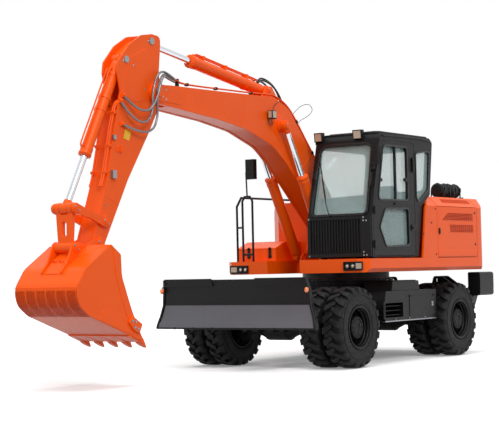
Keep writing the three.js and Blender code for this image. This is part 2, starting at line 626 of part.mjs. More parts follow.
// Left leg with its foot pad, swung up as it travels.
function stabiliserLeg() {
  const [y, z] = LEG_PIN;
  const x0 = LEG_X - LEG_WIDTH / 2;
  const x1 = LEG_X + LEG_WIDTH / 2;
  const leg = section([...arc([y, z], 72, 165, 330, 6), [y + 190, z + 300], [1050, 900], [1050, 1130], [985,
    1130],
    [y + 95, z + 380]], x0, x1);
  const pad = section([[1020, PAD_BOTTOM, 20], [PAD_FACE_Y, PAD_BOTTOM, 40], [PAD_FACE_Y, PAD_TOP, 40],
    [1020, PAD_TOP, 20]],
    LEG_X - PAD_LENGTH / 2, LEG_X + PAD_LENGTH / 2);
  const pin = bar([LEG_X - LEG_WIDTH / 2 - 38, y, z], [LEG_X + LEG_WIDTH / 2 + 38, y, z], KINGPIN_RADIUS,
    PIN_SIDES);
  // slot for the cylinder's eye
  const slot = section([[LEG_CYLINDER_EYE[0] - 200, z + 90], [LEG_CYLINDER_EYE[0] + 75, z + 115],
    [LEG_CYLINDER_EYE[0] + 85, z + 300], [y + 60, z + 420], [LEG_CYLINDER_EYE[0] - 200, z + 420]],
  LEG_X - 40 - MOVE_GAP, LEG_X + 40 + MOVE_GAP);
  return join(cut(leg, slot), pad, pin);
}

// ------------------------------------------------------------------ upper structure

function deckFrame() {
  const edge = DECK_HALF_WIDTH;
  const profile = [[-edge + 50, DECK_BOTTOM], [edge - 50, DECK_BOTTOM], [edge, DECK_BOTTOM + 50], [edge,
    DECK_TOP],
    [-edge, DECK_TOP], [-edge, DECK_BOTTOM + 50]];
  const plan = [
    [DECK_REAR_X, -edge], [DECK_RIGHT_FRONT_X - 130, -edge], [DECK_RIGHT_FRONT_X, -edge + 130],
    [DECK_RIGHT_FRONT_X, BAY_RIGHT_Y], [BAY_REAR_X, BAY_RIGHT_Y], [BAY_REAR_X, BAY_LEFT_Y],
    [DECK_LEFT_FRONT_X, BAY_LEFT_Y], [DECK_LEFT_FRONT_X, edge - 140], [DECK_LEFT_FRONT_X - 110, edge],
    [DECK_REAR_X, edge],
  ];
  const deck = section(profile, DECK_REAR_X, DECK_LEFT_FRONT_X).intersect(slab(plan, DECK_BOTTOM, DECK_TOP));
  const collar = bar([0, 0, RING_SPLIT_Z + PIN_GAP], [0, 0, DECK_BOTTOM + 10], RING_RADIUS, RING_SIDES)
    .subtract(bar([0, 0, 1100], [0, 0, DECK_BOTTOM], RING_BORE, RING_SIDES));
  const [fx, fz] = BOOM_FOOT;
  const [cx, cz] = BOOM_CYLINDER_BASE;
  const bracket = [[-420, DECK_BOTTOM], [BAY_REAR_X + 10, DECK_BOTTOM], [BAY_REAR_X + 10, 1500], [fx + 300,
    1690],
    ...arc([fx, fz], 135, 20, 150, 5), [-420, DECK_TOP + 60]];
  const inner = BOOM_HALF_WIDTH + MOVE_GAP;
  const brackets = [BOOM_Y + inner, BOOM_Y - inner - BRACKET].map((y) => plate(bracket, y, y + BRACKET));
  // lugs between the two lift cylinders, below the boom
  const lug = [[BAY_REAR_X - 50, DECK_BOTTOM], [cx + 70, DECK_BOTTOM], [cx + 80, cz - 60], [cx + 52,
    cz + 10, 30],
    [cx + 10, cz + 52, 30], [cx - 50, cz + 48, 20], [BAY_REAR_X - 50, DECK_TOP]];
  const lugY = BOOM_CYLINDER_Y - BOOM_CYLINDER_RADIUS - 2 * MOVE_GAP - PLATE;
  const lugs = [BOOM_Y + lugY, BOOM_Y - lugY - PLATE].map((y) => plate(lug, y, y + PLATE));
  const cross = box(BAY_REAR_X - 50, cx + 60, BOOM_Y - lugY - 10, BOOM_Y + lugY + 10, DECK_BOTTOM,
    DECK_BOTTOM + 60);
  // pads under the engine doors' hinges
  const pads = [1, -1].map((s) => box(HOUSE_REAR_X + 3, HOUSE_REAR_X + 45,
    s > 0 ? edge - PANEL + 2 : -edge + 2,
    s > 0 ? edge - 2 : -edge + PANEL - 2, DECK_TOP - 5, DECK_TOP + DOOR_RISE - GAP));
  return cut(join(deck, collar, brackets, lugs, cross, pads), bore(BOOM_FOOT, PIN_RADIUS),
    bore(BOOM_CYLINDER_BASE, PIN_RADIUS));
}

function counterweight() {
  const front = COUNTERWEIGHT_X;
  const edge = DECK_HALF_WIDTH;
  const plan = [[front, -edge], [-1890, -edge, 120], [TAIL_X, -edge + 360, 320], [TAIL_X, edge - 360, 320],
    [-1890, edge, 120], [front, edge]];
  const side = [[front, DECK_BOTTOM], [TAIL_X + 70, DECK_BOTTOM], [TAIL_X, DECK_BOTTOM + 60], [TAIL_X, 2130],
    [TAIL_X + 120, HOUSE_TOP], [front, HOUSE_TOP]];
  const back = [[-edge + 50, DECK_BOTTOM], [edge - 50, DECK_BOTTOM], [edge, DECK_BOTTOM + 50], [edge,
    HOUSE_CREASE],
    [edge - HOUSE_CREASE_INSET, HOUSE_TOP], [-edge + HOUSE_CREASE_INSET, HOUSE_TOP], [-edge, HOUSE_CREASE],
    [-edge, DECK_BOTTOM + 50]];
  return slab(plan, DECK_BOTTOM, HOUSE_TOP)
    .intersect(plate(side, -edge - 1, edge + 1))
    .intersect(section(back, TAIL_X - 1, front + 1));
}

// The hood over the engine: flat top and two sloping shoulders, open below.
function engineHood() {
  const edge = DECK_HALF_WIDTH;
  const inset = HOUSE_CREASE_INSET;
  const skin = [[-edge, HOUSE_CREASE], [-edge + PANEL, HOUSE_CREASE], [-edge + inset + 12, HOUSE_TOP - PANEL],
    [edge - inset - 12, HOUSE_TOP - PANEL], [edge - PANEL, HOUSE_CREASE], [edge, HOUSE_CREASE],
    [edge - inset, HOUSE_TOP], [-edge + inset, HOUSE_TOP]];
  return section(skin, HOUSE_REAR_X + 2, HOUSE_FRONT_X - HOOD_SWING_GAP);
}

// The bulkhead behind cab and tank with the fixed panel beside the cab.
function houseFrame() {
  const edge = DECK_HALF_WIDTH;
  const inset = HOUSE_CREASE_INSET;
  const wall = section([[-edge, DECK_TOP + GAP], [edge, DECK_TOP + GAP], [edge, HOUSE_CREASE],
    [edge - inset, HOUSE_TOP],
    [-edge + inset, HOUSE_TOP], [-edge, HOUSE_CREASE]], HOUSE_FRONT_X, HOUSE_FRONT_X + 30);
  const side = plate([[HOUSE_FRONT_X + 20, DECK_TOP + GAP], [-40, DECK_TOP + GAP], [-150, HOUSE_CREASE - 20],
    [-190, HOUSE_CREASE], [HOUSE_FRONT_X + 20, HOUSE_CREASE]], edge - PANEL, edge);
  const shoulder = plate([[HOUSE_FRONT_X + 20, HOUSE_CREASE - 1], [-185, HOUSE_CREASE - 1], [-375,
    HOUSE_TOP + 1],
    [HOUSE_FRONT_X + 20, HOUSE_TOP + 1]], CAB_OUTER_Y - 200, edge);
  const slope = section([[edge - PANEL, HOUSE_CREASE - 1], [edge, HOUSE_CREASE - 1], [edge, HOUSE_CREASE],
    [edge - inset, HOUSE_TOP], [edge - inset - 60, HOUSE_TOP], [edge - inset - 60, HOUSE_TOP - PANEL],
    [edge - inset - 12, HOUSE_TOP - PANEL]], HOUSE_FRONT_X, 0);
  // ledge that the closed hood rests on
  const ledge = box(HOUSE_FRONT_X - HOOD_SWING_GAP - 50, HOUSE_FRONT_X + 10, -300, 300,
    HOUSE_TOP - PANEL - 45,
    HOUSE_TOP - PANEL - GAP);
  return join(wall, side, slope.intersect(shoulder), ledge);
}

function houseDoor() {
  const z0 = DECK_TOP + DOOR_RISE;
  return box(HOUSE_REAR_X, HOUSE_FRONT_X - 6, DECK_HALF_WIDTH - PANEL, DECK_HALF_WIDTH, z0,
    HOUSE_CREASE - MOVE_GAP);
}

function fuelTank() {
  const rear = HOUSE_FRONT_X + 30 + GAP;
  const plan = [[rear, -1235], [-30, -1235], [TANK_FRONT_X, -940], [TANK_FRONT_X, -400], [rear, -400]];
  const body = slab(plan, DECK_TOP + GAP, TANK_TOP);
  const shape = section([[-1235, DECK_TOP], [-400, DECK_TOP], [-400, TANK_TOP - 25], [-425, TANK_TOP],
    [-1150, TANK_TOP],
    [-1235, HOUSE_CREASE]], rear, TANK_FRONT_X);
  return body.intersect(shape);
}

const TOOL_BOX_REAR_X = TANK_FRONT_X + MOVE_GAP + 14;
const TOOL_BOX_OUTER_Y = -1230;
const TOOL_BOX_INNER_Y = -560;

function frontToolBox() {
  const outer = box(TOOL_BOX_REAR_X, TOOL_BOX_FRONT_X, TOOL_BOX_OUTER_Y, TOOL_BOX_INNER_Y, DECK_TOP + GAP,
    TOOL_BOX_TOP);
  const inner = box(TOOL_BOX_REAR_X + 22, TOOL_BOX_FRONT_X - 22, TOOL_BOX_OUTER_Y + 22, TOOL_BOX_INNER_Y - 22,
    DECK_TOP + 25, TOOL_BOX_TOP + 50);
  return outer.subtract(inner);
}

function toolBoxLid() {
  const z = TOOL_BOX_TOP + GAP * 2;
  const shape = (t) => [[TOOL_BOX_REAR_X + t, z - (t ? 5 : 0)], [TOOL_BOX_FRONT_X - t, z - (t ? 5 : 0)],
    [TOOL_BOX_FRONT_X - t, z + 20], [TOOL_BOX_FRONT_X - 260 - t * 0.4, TOOL_LID_TOP - t],
      [TOOL_BOX_REAR_X + t, TOOL_LID_TOP - t]];
  return plate(shape(0), TOOL_BOX_OUTER_Y, TOOL_BOX_INNER_Y)
    .subtract(plate(shape(20), TOOL_BOX_OUTER_Y + 20, TOOL_BOX_INNER_Y - 20));
}

const RAIL_RADIUS = 17;
const RAIL_TOP = 2320;
const RAIL_Y = -1110;

function handrail() {
  const foot = DECK_TOP + GAP;
  const r = RAIL_RADIUS;
  const post = 1090;
  const outer = 1150;
  const bend = post - 110;
  // hoops over the tool box, a long rail back over the tank, and the bars that tie them
  return join(
    railing([[post, RAIL_Y, foot], [post, RAIL_Y, RAIL_TOP - 130], [bend, RAIL_Y, RAIL_TOP], [-300, RAIL_Y,
      RAIL_TOP],
      [-300, RAIL_Y, TANK_TOP + GAP]], r),
    railing([[outer, -970, foot], [outer, -970, RAIL_TOP - 60], [outer, -930, RAIL_TOP], [outer, -840,
      RAIL_TOP],
      [outer, -800, RAIL_TOP - 60], [outer, -800, foot]], r),
    railing([[post, RAIL_Y, 1890], [outer, -970, 1890]], r - 2),
    railing([[outer, -970, 1510], [outer, -800, 1510]], r - 2),
    railing([[bend - 20, RAIL_Y, RAIL_TOP], [outer, -885, RAIL_TOP]], r - 2),
    railing([[outer, -885, RAIL_TOP], [1190, -870, 2660]], r - 5),
    // mirror head
    slab([[1165, -880], [1215, -860], [1215, -720], [1165, -700]], 2560, 2840),
  );
}

function airCleaner() {
  const y = 1000;
  const z = HOUSE_TOP + 125;
  const can = bar([-1660, y, z], [-1080, y, z], 95, 14);
  const dome = bar([-1085, y, z], [-1030, y, z], 95, 14, 60);
  const outlet = bar([-1500, y, z], [-1500, y - 190, z - 30], 50, 10);
  const elbow = bar([-1500, y - 175, z + 15], [-1500, y - 175, HOUSE_TOP + GAP], 52, 10);
  const feet = [-1560, -1220].map((x) => box(x - 30, x + 30, y - 80, y + 80, HOUSE_TOP + GAP,
    HOUSE_TOP + 60));
  return join(can, dome, outlet, elbow, feet);
}

// ------------------------------------------------------------------ cab

const CAB_SIDE = [
  [20, CAB_FLOOR], [1262, CAB_FLOOR, 20], [1268, 1985], [1010, 3020, 60], [950, 3090, 50], [-370, 3090, 60],
  [-452, 3030, 40], [-350, 2290], [-125, 2150],
];

// Corners of a counter-clockwise outline moved inwards by a wall, with their radii.
function inset(corners, wall) {
  const count = corners.length;
  return corners.map(([x, y, radius = 0], i) => {
    const before = corners[(i + count - 1) % count];
    const after = corners[(i + 1) % count];
    const a = new THREE.Vector2(x - before[0], y - before[1]).normalize();
    const b = new THREE.Vector2(after[0] - x, after[1] - y).normalize();
    const scale = wall / (1 + a.dot(b));
    return [x - (a.y + b.y) * scale, y + (a.x + b.x) * scale, Math.max(0, radius - wall)];
  });
}

// Front edge of the cab at a height.
const cabFrontX = (z) => (z < 1985 ? 1268 - (1985 - z) * 0.011 : 1268 - ((z - 1985) * 258) / 1035);

const DOOR = [[95, CAB_FLOOR + 14, 20], [cabFrontX(CAB_FLOOR) - 45, CAB_FLOOR + 14, 20],
  [cabFrontX(1985) - 48, 1985],
  [cabFrontX(2985) - 48, 2985, 50], [95, 2995, 40]];
const UPPER_WINDOW = [[285, 2205, 50], [1085, 2195, 50], [925, 2925, 90], [290, 2925, 60]];
const LOWER_WINDOW = [[270, 1590, 50], [900, 1570, 60], [1060, 1830, 60], [905, 2075, 60], [280, 2085, 50]];
const QUARTER_WINDOW = [[-5, 2180, 40], [40, 2260, 30], [40, 2860, 50], [-350, 2905, 60], [-290, 2370, 50]];
const RIGHT_WINDOW = [[-230, 2330, 50], [1060, 2230, 60], [920, 2925, 80], [-330, 2925, 80]];

// Solids that follow the sloping windscreen: first coordinate across, second up the slope.
const SCREEN_FOOT = new THREE.Vector3(1268, 0, 1985);
const SCREEN_UP = new THREE.Vector3(-258, 0, 1035).normalize();
const SCREEN_OUT = new THREE.Vector3().crossVectors(Y, SCREEN_UP);
function screenSolid(corners, from, to) {
  const geometry = new THREE.ExtrudeGeometry(new THREE.Shape(outline(corners)), { depth: to - from,
    bevelEnabled: false });
  geometry.translate(0, 0, from);
  geometry.applyMatrix4(new THREE.Matrix4().makeBasis(Y, SCREEN_UP, SCREEN_OUT).setPosition(SCREEN_FOOT));
  return solid(geometry);
}
const SCREEN = [[CAB_INNER_Y + 75, 22, 60], [CAB_OUTER_Y - 80, 22, 60], [CAB_OUTER_Y - 110, 985, 80],
  [CAB_INNER_Y + 90, 985, 80]];

// A pane or window shape grown or shrunk by a clearance.
const resized = (corners, by) => inset(corners, -by);

function rearSolid(from, to, grow) {
  const foot = new THREE.Vector3(-350, 0, 2290);
  const up = new THREE.Vector3(-102, 0, 740).normalize();
  const out = new THREE.Vector3().crossVectors(up, Y);
  const corners = [[-CAB_OUTER_Y + 90, 60, 60], [-CAB_INNER_Y - 90, 60, 60], [-CAB_INNER_Y - 90, 640, 60],
    [-CAB_OUTER_Y + 90, 640, 60]];
  const geometry = new THREE.ExtrudeGeometry(new THREE.Shape(outline(resized(corners, grow))),
    { depth: to - from, bevelEnabled: false });
  geometry.translate(0, 0, from);
  geometry.applyMatrix4(new THREE.Matrix4().makeBasis(Y.clone().negate(), up, out).setPosition(foot));
  return solid(geometry);
}

function cabFrame() {
  const shell = plate(CAB_SIDE, CAB_INNER_Y, CAB_OUTER_Y)
    .subtract(extruded(inset(CAB_SIDE, CAB_WALL), -CAB_OUTER_Y + CAB_WALL, -CAB_INNER_Y - CAB_WALL, X, Z,
      Y.clone().negate()));
  const doorway = extruded(resized(DOOR, DOOR_GAP), -CAB_OUTER_Y - 5, -CAB_OUTER_Y + CAB_WALL + 2, X, Z,
    Y.clone().negate());
  const windows = [
    screenSolid(SCREEN, -CAB_WALL - 12, 12),
    plate(QUARTER_WINDOW, CAB_OUTER_Y - CAB_WALL - 5, CAB_OUTER_Y + 5),
    plate(RIGHT_WINDOW, CAB_INNER_Y - 5, CAB_INNER_Y + CAB_WALL + 5),
    rearSolid(-CAB_WALL - 12, 12, 0),
  ];
  const feet = [[150, 330], [1080, 330], [150, 1080], [1080, 1080]].map(([x, y]) =>
    bar([x, y, DECK_TOP + GAP], [x, y, CAB_FLOOR + 10], 45, 10));
  const mirror = join(
    railing([[1060, 1185, 2800], [1110, 1205, 2800]], 14),
    slab([[1095, 1150], [1135, 1165], [1135, 1235], [1095, 1245]], 2650, 2900),
  );
  // pad under the door's lower hinge
  const pad = box(DOOR[0][0] + 5, DOOR[0][0] + 50, CAB_OUTER_Y - DOOR_THICKNESS + 6, CAB_OUTER_Y - 2,
    CAB_FLOOR, DOOR[0][1] - GAP);
  return join(cut(shell, doorway, windows), feet, mirror, pad);
}

function cabDoor() {
  const y0 = CAB_OUTER_Y - DOOR_THICKNESS;
  return cut(plate(DOOR, y0, CAB_OUTER_Y), [UPPER_WINDOW, LOWER_WINDOW].map((w) => plate(w, y0 - 5,
    CAB_OUTER_Y + 5)));
}

function doorGlass() {
  const y1 = CAB_OUTER_Y - DOOR_THICKNESS - GAP;
  const reach = 12;
  const sheet = [[LOWER_WINDOW[0][0] - reach, LOWER_WINDOW[0][1] - reach, 60],
    [LOWER_WINDOW[1][0] + reach, LOWER_WINDOW[1][1] - reach - 4, 60], [LOWER_WINDOW[2][0] + reach,
      LOWER_WINDOW[2][1], 40],
    [UPPER_WINDOW[1][0] + reach, UPPER_WINDOW[1][1]], [UPPER_WINDOW[2][0] + reach,
      UPPER_WINDOW[2][1] + reach, 60],
    [LOWER_WINDOW[0][0] - reach, UPPER_WINDOW[3][1] + reach, 60]];
  return plate(sheet, y1 - GLASS + 2, y1);
}

function seatAndControls() {
  const floor = CAB_FLOOR + CAB_WALL + GAP;
  const y = (CAB_INNER_Y + CAB_OUTER_Y) / 2;
  return join(
    box(CAB_WALL + 15, 1180, y - 400, y + 400, floor, floor + 12),
    box(120, 520, y - 170, y + 170, floor + 10, floor + 300),
    slab([[90, y - 250, 60], [580, y - 250, 60], [580, y + 250, 60], [90, y + 250, 60]], floor + 290,
      floor + 420),
    plate([[40, floor + 400, 30], [150, floor + 380], [110, floor + 980, 40], [0, floor + 990, 40]],
      y - 235, y + 235),
    box(140, 560, y - 400, y - 275, floor + 10, floor + 500),
    box(140, 560, y + 275, y + 395, floor + 10, floor + 500),
    bar([520, y - 335, floor + 495], [560, y - 335, floor + 640], 22, 8),
    bar([520, y + 335, floor + 495], [560, y + 335, floor + 640], 22, 8),
    bar([955, y, floor + 30], [850, y, floor + 560], 45, 8),
    bar([872, y, floor + 540], [862, y, floor + 575], 190, 16),
    box(880, 1180, y - 180, y + 180, floor + 10, floor + 60),
  );
}

// ------------------------------------------------------------------ boom, arm and bucket

const boomTop = [[4118, 3550], [3960, 3557], [2974, 3572], [1755, 3600, 260], [1395, 3462, 300], [825,
  2851], [400, 2344]];
const boomBottom = [[1215, 2490, 500], [1514, 2740, 400], [1800, 2935, 600], [2384, 3118, 800], [3010,
  3209], [3721, 3271]];

function boomBody() {
  const side = [...arc(BOOM_FOOT, 130, 150, 310, 6), ...boomBottom, ...arc(ARM_PIVOT, 128, -95, 80, 6),
    ...boomTop];
  const half = BOOM_HALF_WIDTH;
  const body = plate(side, BOOM_Y - half, BOOM_Y + half);
  const foot = barY(BOOM_FOOT, BOOM_Y - half, BOOM_Y + half, 138, 16);
  // fork that takes the arm
  const slot = plate([[4020, 3000], [4600, 3000], [4600, 3800], [3690, 3800], [3775, 3570], [3925, 3490],
    [3990, 3400]],
    BOOM_Y - ARM_HALF_WIDTH - MOVE_GAP, BOOM_Y + ARM_HALF_WIDTH + MOVE_GAP);
  const caps = [1, -1].map((side_) => barY(ARM_PIVOT, BOOM_Y + side_ * (half - 5),
    BOOM_Y + side_ * (half + 26), 90, 14));
  const bosses = [1, -1].map((side_) =>
    barY(BOOM_CYLINDER_EYE, BOOM_Y + side_ * (half - 10),
      BOOM_Y + side_ * (BOOM_CYLINDER_Y - 42 - MOVE_GAP), 75, 14));
  // brackets of the arm cylinder on top of the boom
  const [ex, ez] = ARM_CYLINDER_BASE;
  const ear = [[ex - 210, 3555], [ex - 60, ez + 58, 40], [ex + 60, ez + 58, 40], [ex + 200, 3560],
    [ex + 100, 3500], [ex - 150, 3480]];
  const ears = [BOOM_Y - ARM_CYLINDER_RADIUS - MOVE_GAP - PLATE,
    BOOM_Y + ARM_CYLINDER_RADIUS + MOVE_GAP].map((y) => plate(ear, y, y + PLATE));
  const pins = [
    barY(BOOM_FOOT, BOOM_Y - half - MOVE_GAP - 50, BOOM_Y + half + MOVE_GAP + 50, PIN_RADIUS, PIN_SIDES),
    barY(ARM_PIVOT, BOOM_Y - half, BOOM_Y + half, PIN_RADIUS, PIN_SIDES),
  ];
  // pocket that keeps the arm cylinder's base eye clear
  const pocket = barY(ARM_CYLINDER_BASE, BOOM_Y - ARM_CYLINDER_RADIUS - MOVE_GAP,
    BOOM_Y + ARM_CYLINDER_RADIUS + MOVE_GAP, 105, 14);
  return cut(join(cut(body, slot), foot, caps, bosses, ears, pins), bore(ARM_CYLINDER_BASE, PIN_RADIUS),
    pocket);
}

function armBody() {
  const half = ARM_HALF_WIDTH;
  const [px, pz] = ARM_PIVOT;
  const [dx, dz] = ARM_CYLINDER_EYE;
  const side = [
    [4137, 3320], [4356, 2967], [4768, 2378], [5190, 1650],
    ...arc(BUCKET_PIVOT, 100, 215, 370, 7),
    [5385, 1720], [5150, 2330], [4905, 3300], [4870, 3420], [4920, 3640, 30], [4900, 3770, 80], [4700, 3985,
      200],
    [4470, 4120, 150], [dx - 10, 4155, 60], [dx - 165, 4140, 60], [4112, 4040], [4150, 3700], [px - 100,
      3500],
  ];
  const body = plate(side, BOOM_Y - half, BOOM_Y + half);
  // open top between the side plates, where the two cylinders end
  const wall = half - PLATE;
  const cavity = plate([[4000, 3700], [4380, 3700], [4620, 3560], [4700, 3300], [4700, 3200], [5060, 3200],
    [5300, 3200],
    [5300, 4400], [4000, 4400]], BOOM_Y - wall, BOOM_Y + wall);
  const bosses = [
    barY(ARM_PIVOT, BOOM_Y - half, BOOM_Y + half, 120, 16),
    barY(BUCKET_PIVOT, BOOM_Y - half, BOOM_Y + half, 88, 14),
  ];
  const bores = [ARM_PIVOT, BUCKET_PIVOT, IDLER_PIVOT, BUCKET_CYLINDER_BASE].map((pin) => bore(pin,
    PIN_RADIUS));
  const caps = [1, -1].map((s) => barY([dx, dz], BOOM_Y + s * (half - 5), BOOM_Y + s * (half + 14), 42, 10));
  return cut(join(cut(body, cavity), bosses, caps), bores);
}

function idlerLink() {
  const middle = [0, 1].map((i) => (IDLER_PIVOT[i] + BUCKET_CYLINDER_EYE[i]) / 2);
  const waist = (side) => [middle[0] - side * 11, middle[1] + side * 38, 200];
  const inner = ARM_HALF_WIDTH + MOVE_GAP;
  const levers = [1, -1].map((s) => {
    const y0 = BOOM_Y + (s > 0 ? inner : -inner - 34);
    return plate([...arc(IDLER_PIVOT, 62, 106, 286, 6), waist(-1), ...arc(BUCKET_CYLINDER_EYE, 62, -74, 106,
      6), waist(1)],
      y0, y0 + 34);
  });
  const pin = barY(IDLER_PIVOT, BOOM_Y - inner - 34, BOOM_Y + inner + 34, PIN_RADIUS, PIN_SIDES);
  // stub pins carry the bucket link and leave the middle to the rod's eye
  const stubs = [1, -1].map((s) => barY(BUCKET_CYLINDER_EYE, BOOM_Y + s * 60, BOOM_Y + s * (inner + 44),
    PIN_RADIUS, PIN_SIDES));
  return join(levers, pin, stubs);
}

function bucketLink() {
  const half = ARM_HALF_WIDTH;
  const [jx, jz] = BUCKET_CYLINDER_EYE;
  const [lx, lz] = LINK_PIN;
  const bosses = [1, -1].map((s) =>
    barY(BUCKET_CYLINDER_EYE, BOOM_Y + s * 58, BOOM_Y + s * (half - 2), 64, 14));
  const foot = barY(LINK_PIN, BOOM_Y - half + 4, BOOM_Y + half - 4, 56, 14);
  const sides = [1, -1].map((s) => box(jx - 38, jx + 42, BOOM_Y + (s > 0 ? 58 : -half + 2),
    BOOM_Y + (s > 0 ? half - 2 : -58), lz, jz));
  const web = box(jx - 25, jx + 30, BOOM_Y - 60, BOOM_Y + 60, lz + 20, lz + 130);
  const bridge = box(jx - 25, jx + 30, BOOM_Y - 60, BOOM_Y + 60, jz - 215, jz - 155);
  return cut(join(bosses, sides, foot, web, bridge), bore(BUCKET_CYLINDER_EYE, PIN_RADIUS));
}

const BUCKET_SHEET = 22;

function bucketBody() {
  const half = BUCKET_HALF_WIDTH;
  const back = [[5470, 1632], [5914, 1351, 260], [6085, 1120, 195], [6030, 945, 200], [5872, 830, 260],
    [5010, 520]];
  const outer = [[5490, 1612], ...back.slice(1, -1), [5010, 520], [4985, 560], [5150, 861], [5320, 1254],
    [5330, 1500]];
  const shell = plate(outer, BOOM_Y - half, BOOM_Y + half);
  const hollow = [[5300, 1480], [5290, 1260], [5110, 880], [4920, 560], [4985, 560 - 18], [5860, 857, 240],
    [6010, 965, 180], [6060, 1115, 175], [5900, 1334, 240], [5482, 1596]];
  const mouth = plate(hollow, BOOM_Y - half + BUCKET_SHEET, BOOM_Y + half - BUCKET_SHEET);
  const [lx, lz] = LINK_PIN;
  const inner = ARM_HALF_WIDTH + MOVE_GAP;
  const ears = [1, -1].map((s) => {
    const y0 = BOOM_Y + (s > 0 ? inner : -inner - PLATE);
    return plate([...arc(BUCKET_PIVOT, 77, 95, 250, 6), [5440, 1520], [5560, 1540], [5900, 1352], [5900,
      1370],
      ...arc(LINK_PIN, 66, -20, 90, 5), [lx - 150, lz + 30]], y0, y0 + PLATE);
  });
  const pins = [
    barY(BUCKET_PIVOT, BOOM_Y - inner - PLATE - 12, BOOM_Y + inner + PLATE + 12, PIN_RADIUS, PIN_SIDES),
    ...[1, -1].map((s) => barY(LINK_PIN, BOOM_Y + s * inner, BOOM_Y + s * (inner + PLATE + 12), 50, 12)),
  ];
  const teeth = Array.from({ length: 5 }, (_, i) => {
    const y = BOOM_Y + (i - 2) * ((half - 45) / 2);
    return plate([[5110, 556], [5130, 610], [4985, 545], [4867, 435], [4880, 428], [5010, 508]], y - 32,
      y + 32);
  });
  const cutters = [1, -1].map((s) => {
    const y0 = BOOM_Y + (s > 0 ? half - 2 : -half - 20);
    return plate([[5010, 720], [5160, 800], [5230, 740], [5140, 640], [5060, 600]], y0, y0 + 22);
  });
  return join(cut(shell, mouth), ears, pins, teeth, cutters);
}

// ------------------------------------------------------------------ assembly

node("chassis_frame", chassisFrame(), BLACK);
node("front_axle", frontAxle(), BLACK);
node("rear_axle", rearAxle(), BLACK);
node("transmission", transmission(), GREY);
node("left_side_box", sideBox(), BLACK);
node("right_side_box", mirrored(sideBox()), BLACK);
node("slew_ring", slewRing(), STEEL);

for (const [name, side] of [["left", 1], ["right", -1]]) {
  const steering = jointed(machine, FRONT_AXLE_X, side * KINGPIN_Y, TYRE_RADIUS);
  node(name + "_knuckle", knuckle(side), BLACK, steering);
  wheel("front_" + name, FRONT_AXLE_X, side, steering);
  wheel("rear_" + name, REAR_AXLE_X, side, machine);
}

node("blade_arms", bladeArms(), BLACK);
node("dozer_blade", dozerBlade(), GREY);
node("blade_top_link", bladeTopLink(), BLACK);

const bladeCylinder = {
  length: 300, radius: 48, rodRadius: 28, eyeRadius: 50, eyeWidth: 100, pinHalf: 92,
  reach: distance(BLADE_CYLINDER_BASE, BLADE_CYLINDER_EYE), inside: 120,
};
const bladeAim = aimed(machine, BLADE_CYLINDER_BASE, BLADE_CYLINDER_EYE, 0);
node("blade_cylinder_barrel", barrel(bladeCylinder), BLACK, bladeAim);
node("blade_cylinder_rod", rod(bladeCylinder), CHROME, bladeAim);

const legCylinder = {
  length: 440, radius: 52, rodRadius: 30, eyeRadius: 48, eyeWidth: 76, pinHalf: LEG_WIDTH / 2 + 38,
  reach: distance(LEG_CYLINDER_BASE, LEG_CYLINDER_EYE), inside: 110,
};
for (const [name, side] of [["left", 1], ["right", -1]]) {
  const leg = stabiliserLeg();
  node(name + "_stabiliser", side > 0 ? leg : mirrored(leg), BLACK);
  const cylinder = jointed(machine, LEG_X, side * LEG_CYLINDER_BASE[0], LEG_CYLINDER_BASE[1]);
  const along = new THREE.Vector3(0, side * (LEG_CYLINDER_EYE[0] - LEG_CYLINDER_BASE[0]),
    LEG_CYLINDER_EYE[1] - LEG_CYLINDER_BASE[1]).normalize();
  cylinder.quaternion.setFromRotationMatrix(new THREE.Matrix4().makeBasis(along, X, along.clone().cross(X)));
  cylinder.userData.pivot = new THREE.Vector3();
  node(name + "_stabiliser_barrel", barrel(legCylinder), BLACK, cylinder);
  node(name + "_stabiliser_rod", rod(legCylinder), CHROME, cylinder);
}

node("deck_frame", deckFrame(), ORANGE, upper);
node("counterweight", counterweight(), ORANGE, upper);
node("house_frame", houseFrame(), ORANGE, upper);
node("engine_hood", engineHood(), ORANGE, upper);
node("left_rear_door", houseDoor(), ORANGE, upper);
node("right_rear_door", mirrored(houseDoor()), ORANGE, upper);
node("fuel_tank", fuelTank(), ORANGE, upper);
node("front_tool_box", frontToolBox(), ORANGE, upper);
node("tool_box_lid", toolBoxLid(), ORANGE, upper);
node("handrail", handrail(), BLACK, upper);
node("engine_block", box(-1500, -600, -450, 450, DECK_TOP + GAP, 2000), GREY, upper);
node("air_cleaner", airCleaner(), BLACK, upper);

node("cab_frame", cabFrame(), BLACK, upper);
node("cab_door", cabDoor(), BLACK, upper);
node("door_glass", doorGlass(), CLEAR, upper);
node("windscreen", screenSolid(SCREEN.map(([a, b, r]) => [
  a + (a < 700 ? GAP * 2 : -GAP * 2), b + (b < 500 ? GAP * 2 : -GAP * 2), r]), -30, -30 + GLASS), CLEAR,
    upper);
node("quarter_glass", extruded(resized(QUARTER_WINDOW, -GAP * 2), -CAB_OUTER_Y + 20,
  -CAB_OUTER_Y + 20 + GLASS, X, Z,
  Y.clone().negate()), CLEAR, upper);
node("right_glass", extruded(resized(RIGHT_WINDOW, -GAP * 2), -CAB_INNER_Y - 28, -CAB_INNER_Y - 28 + GLASS,
  X, Z,
  Y.clone().negate()), CLEAR, upper);
node("rear_glass", rearSolid(-30, -30 + GLASS, -GAP * 2), CLEAR, upper);
node("operator_seat", seatAndControls(), FABRIC, upper);

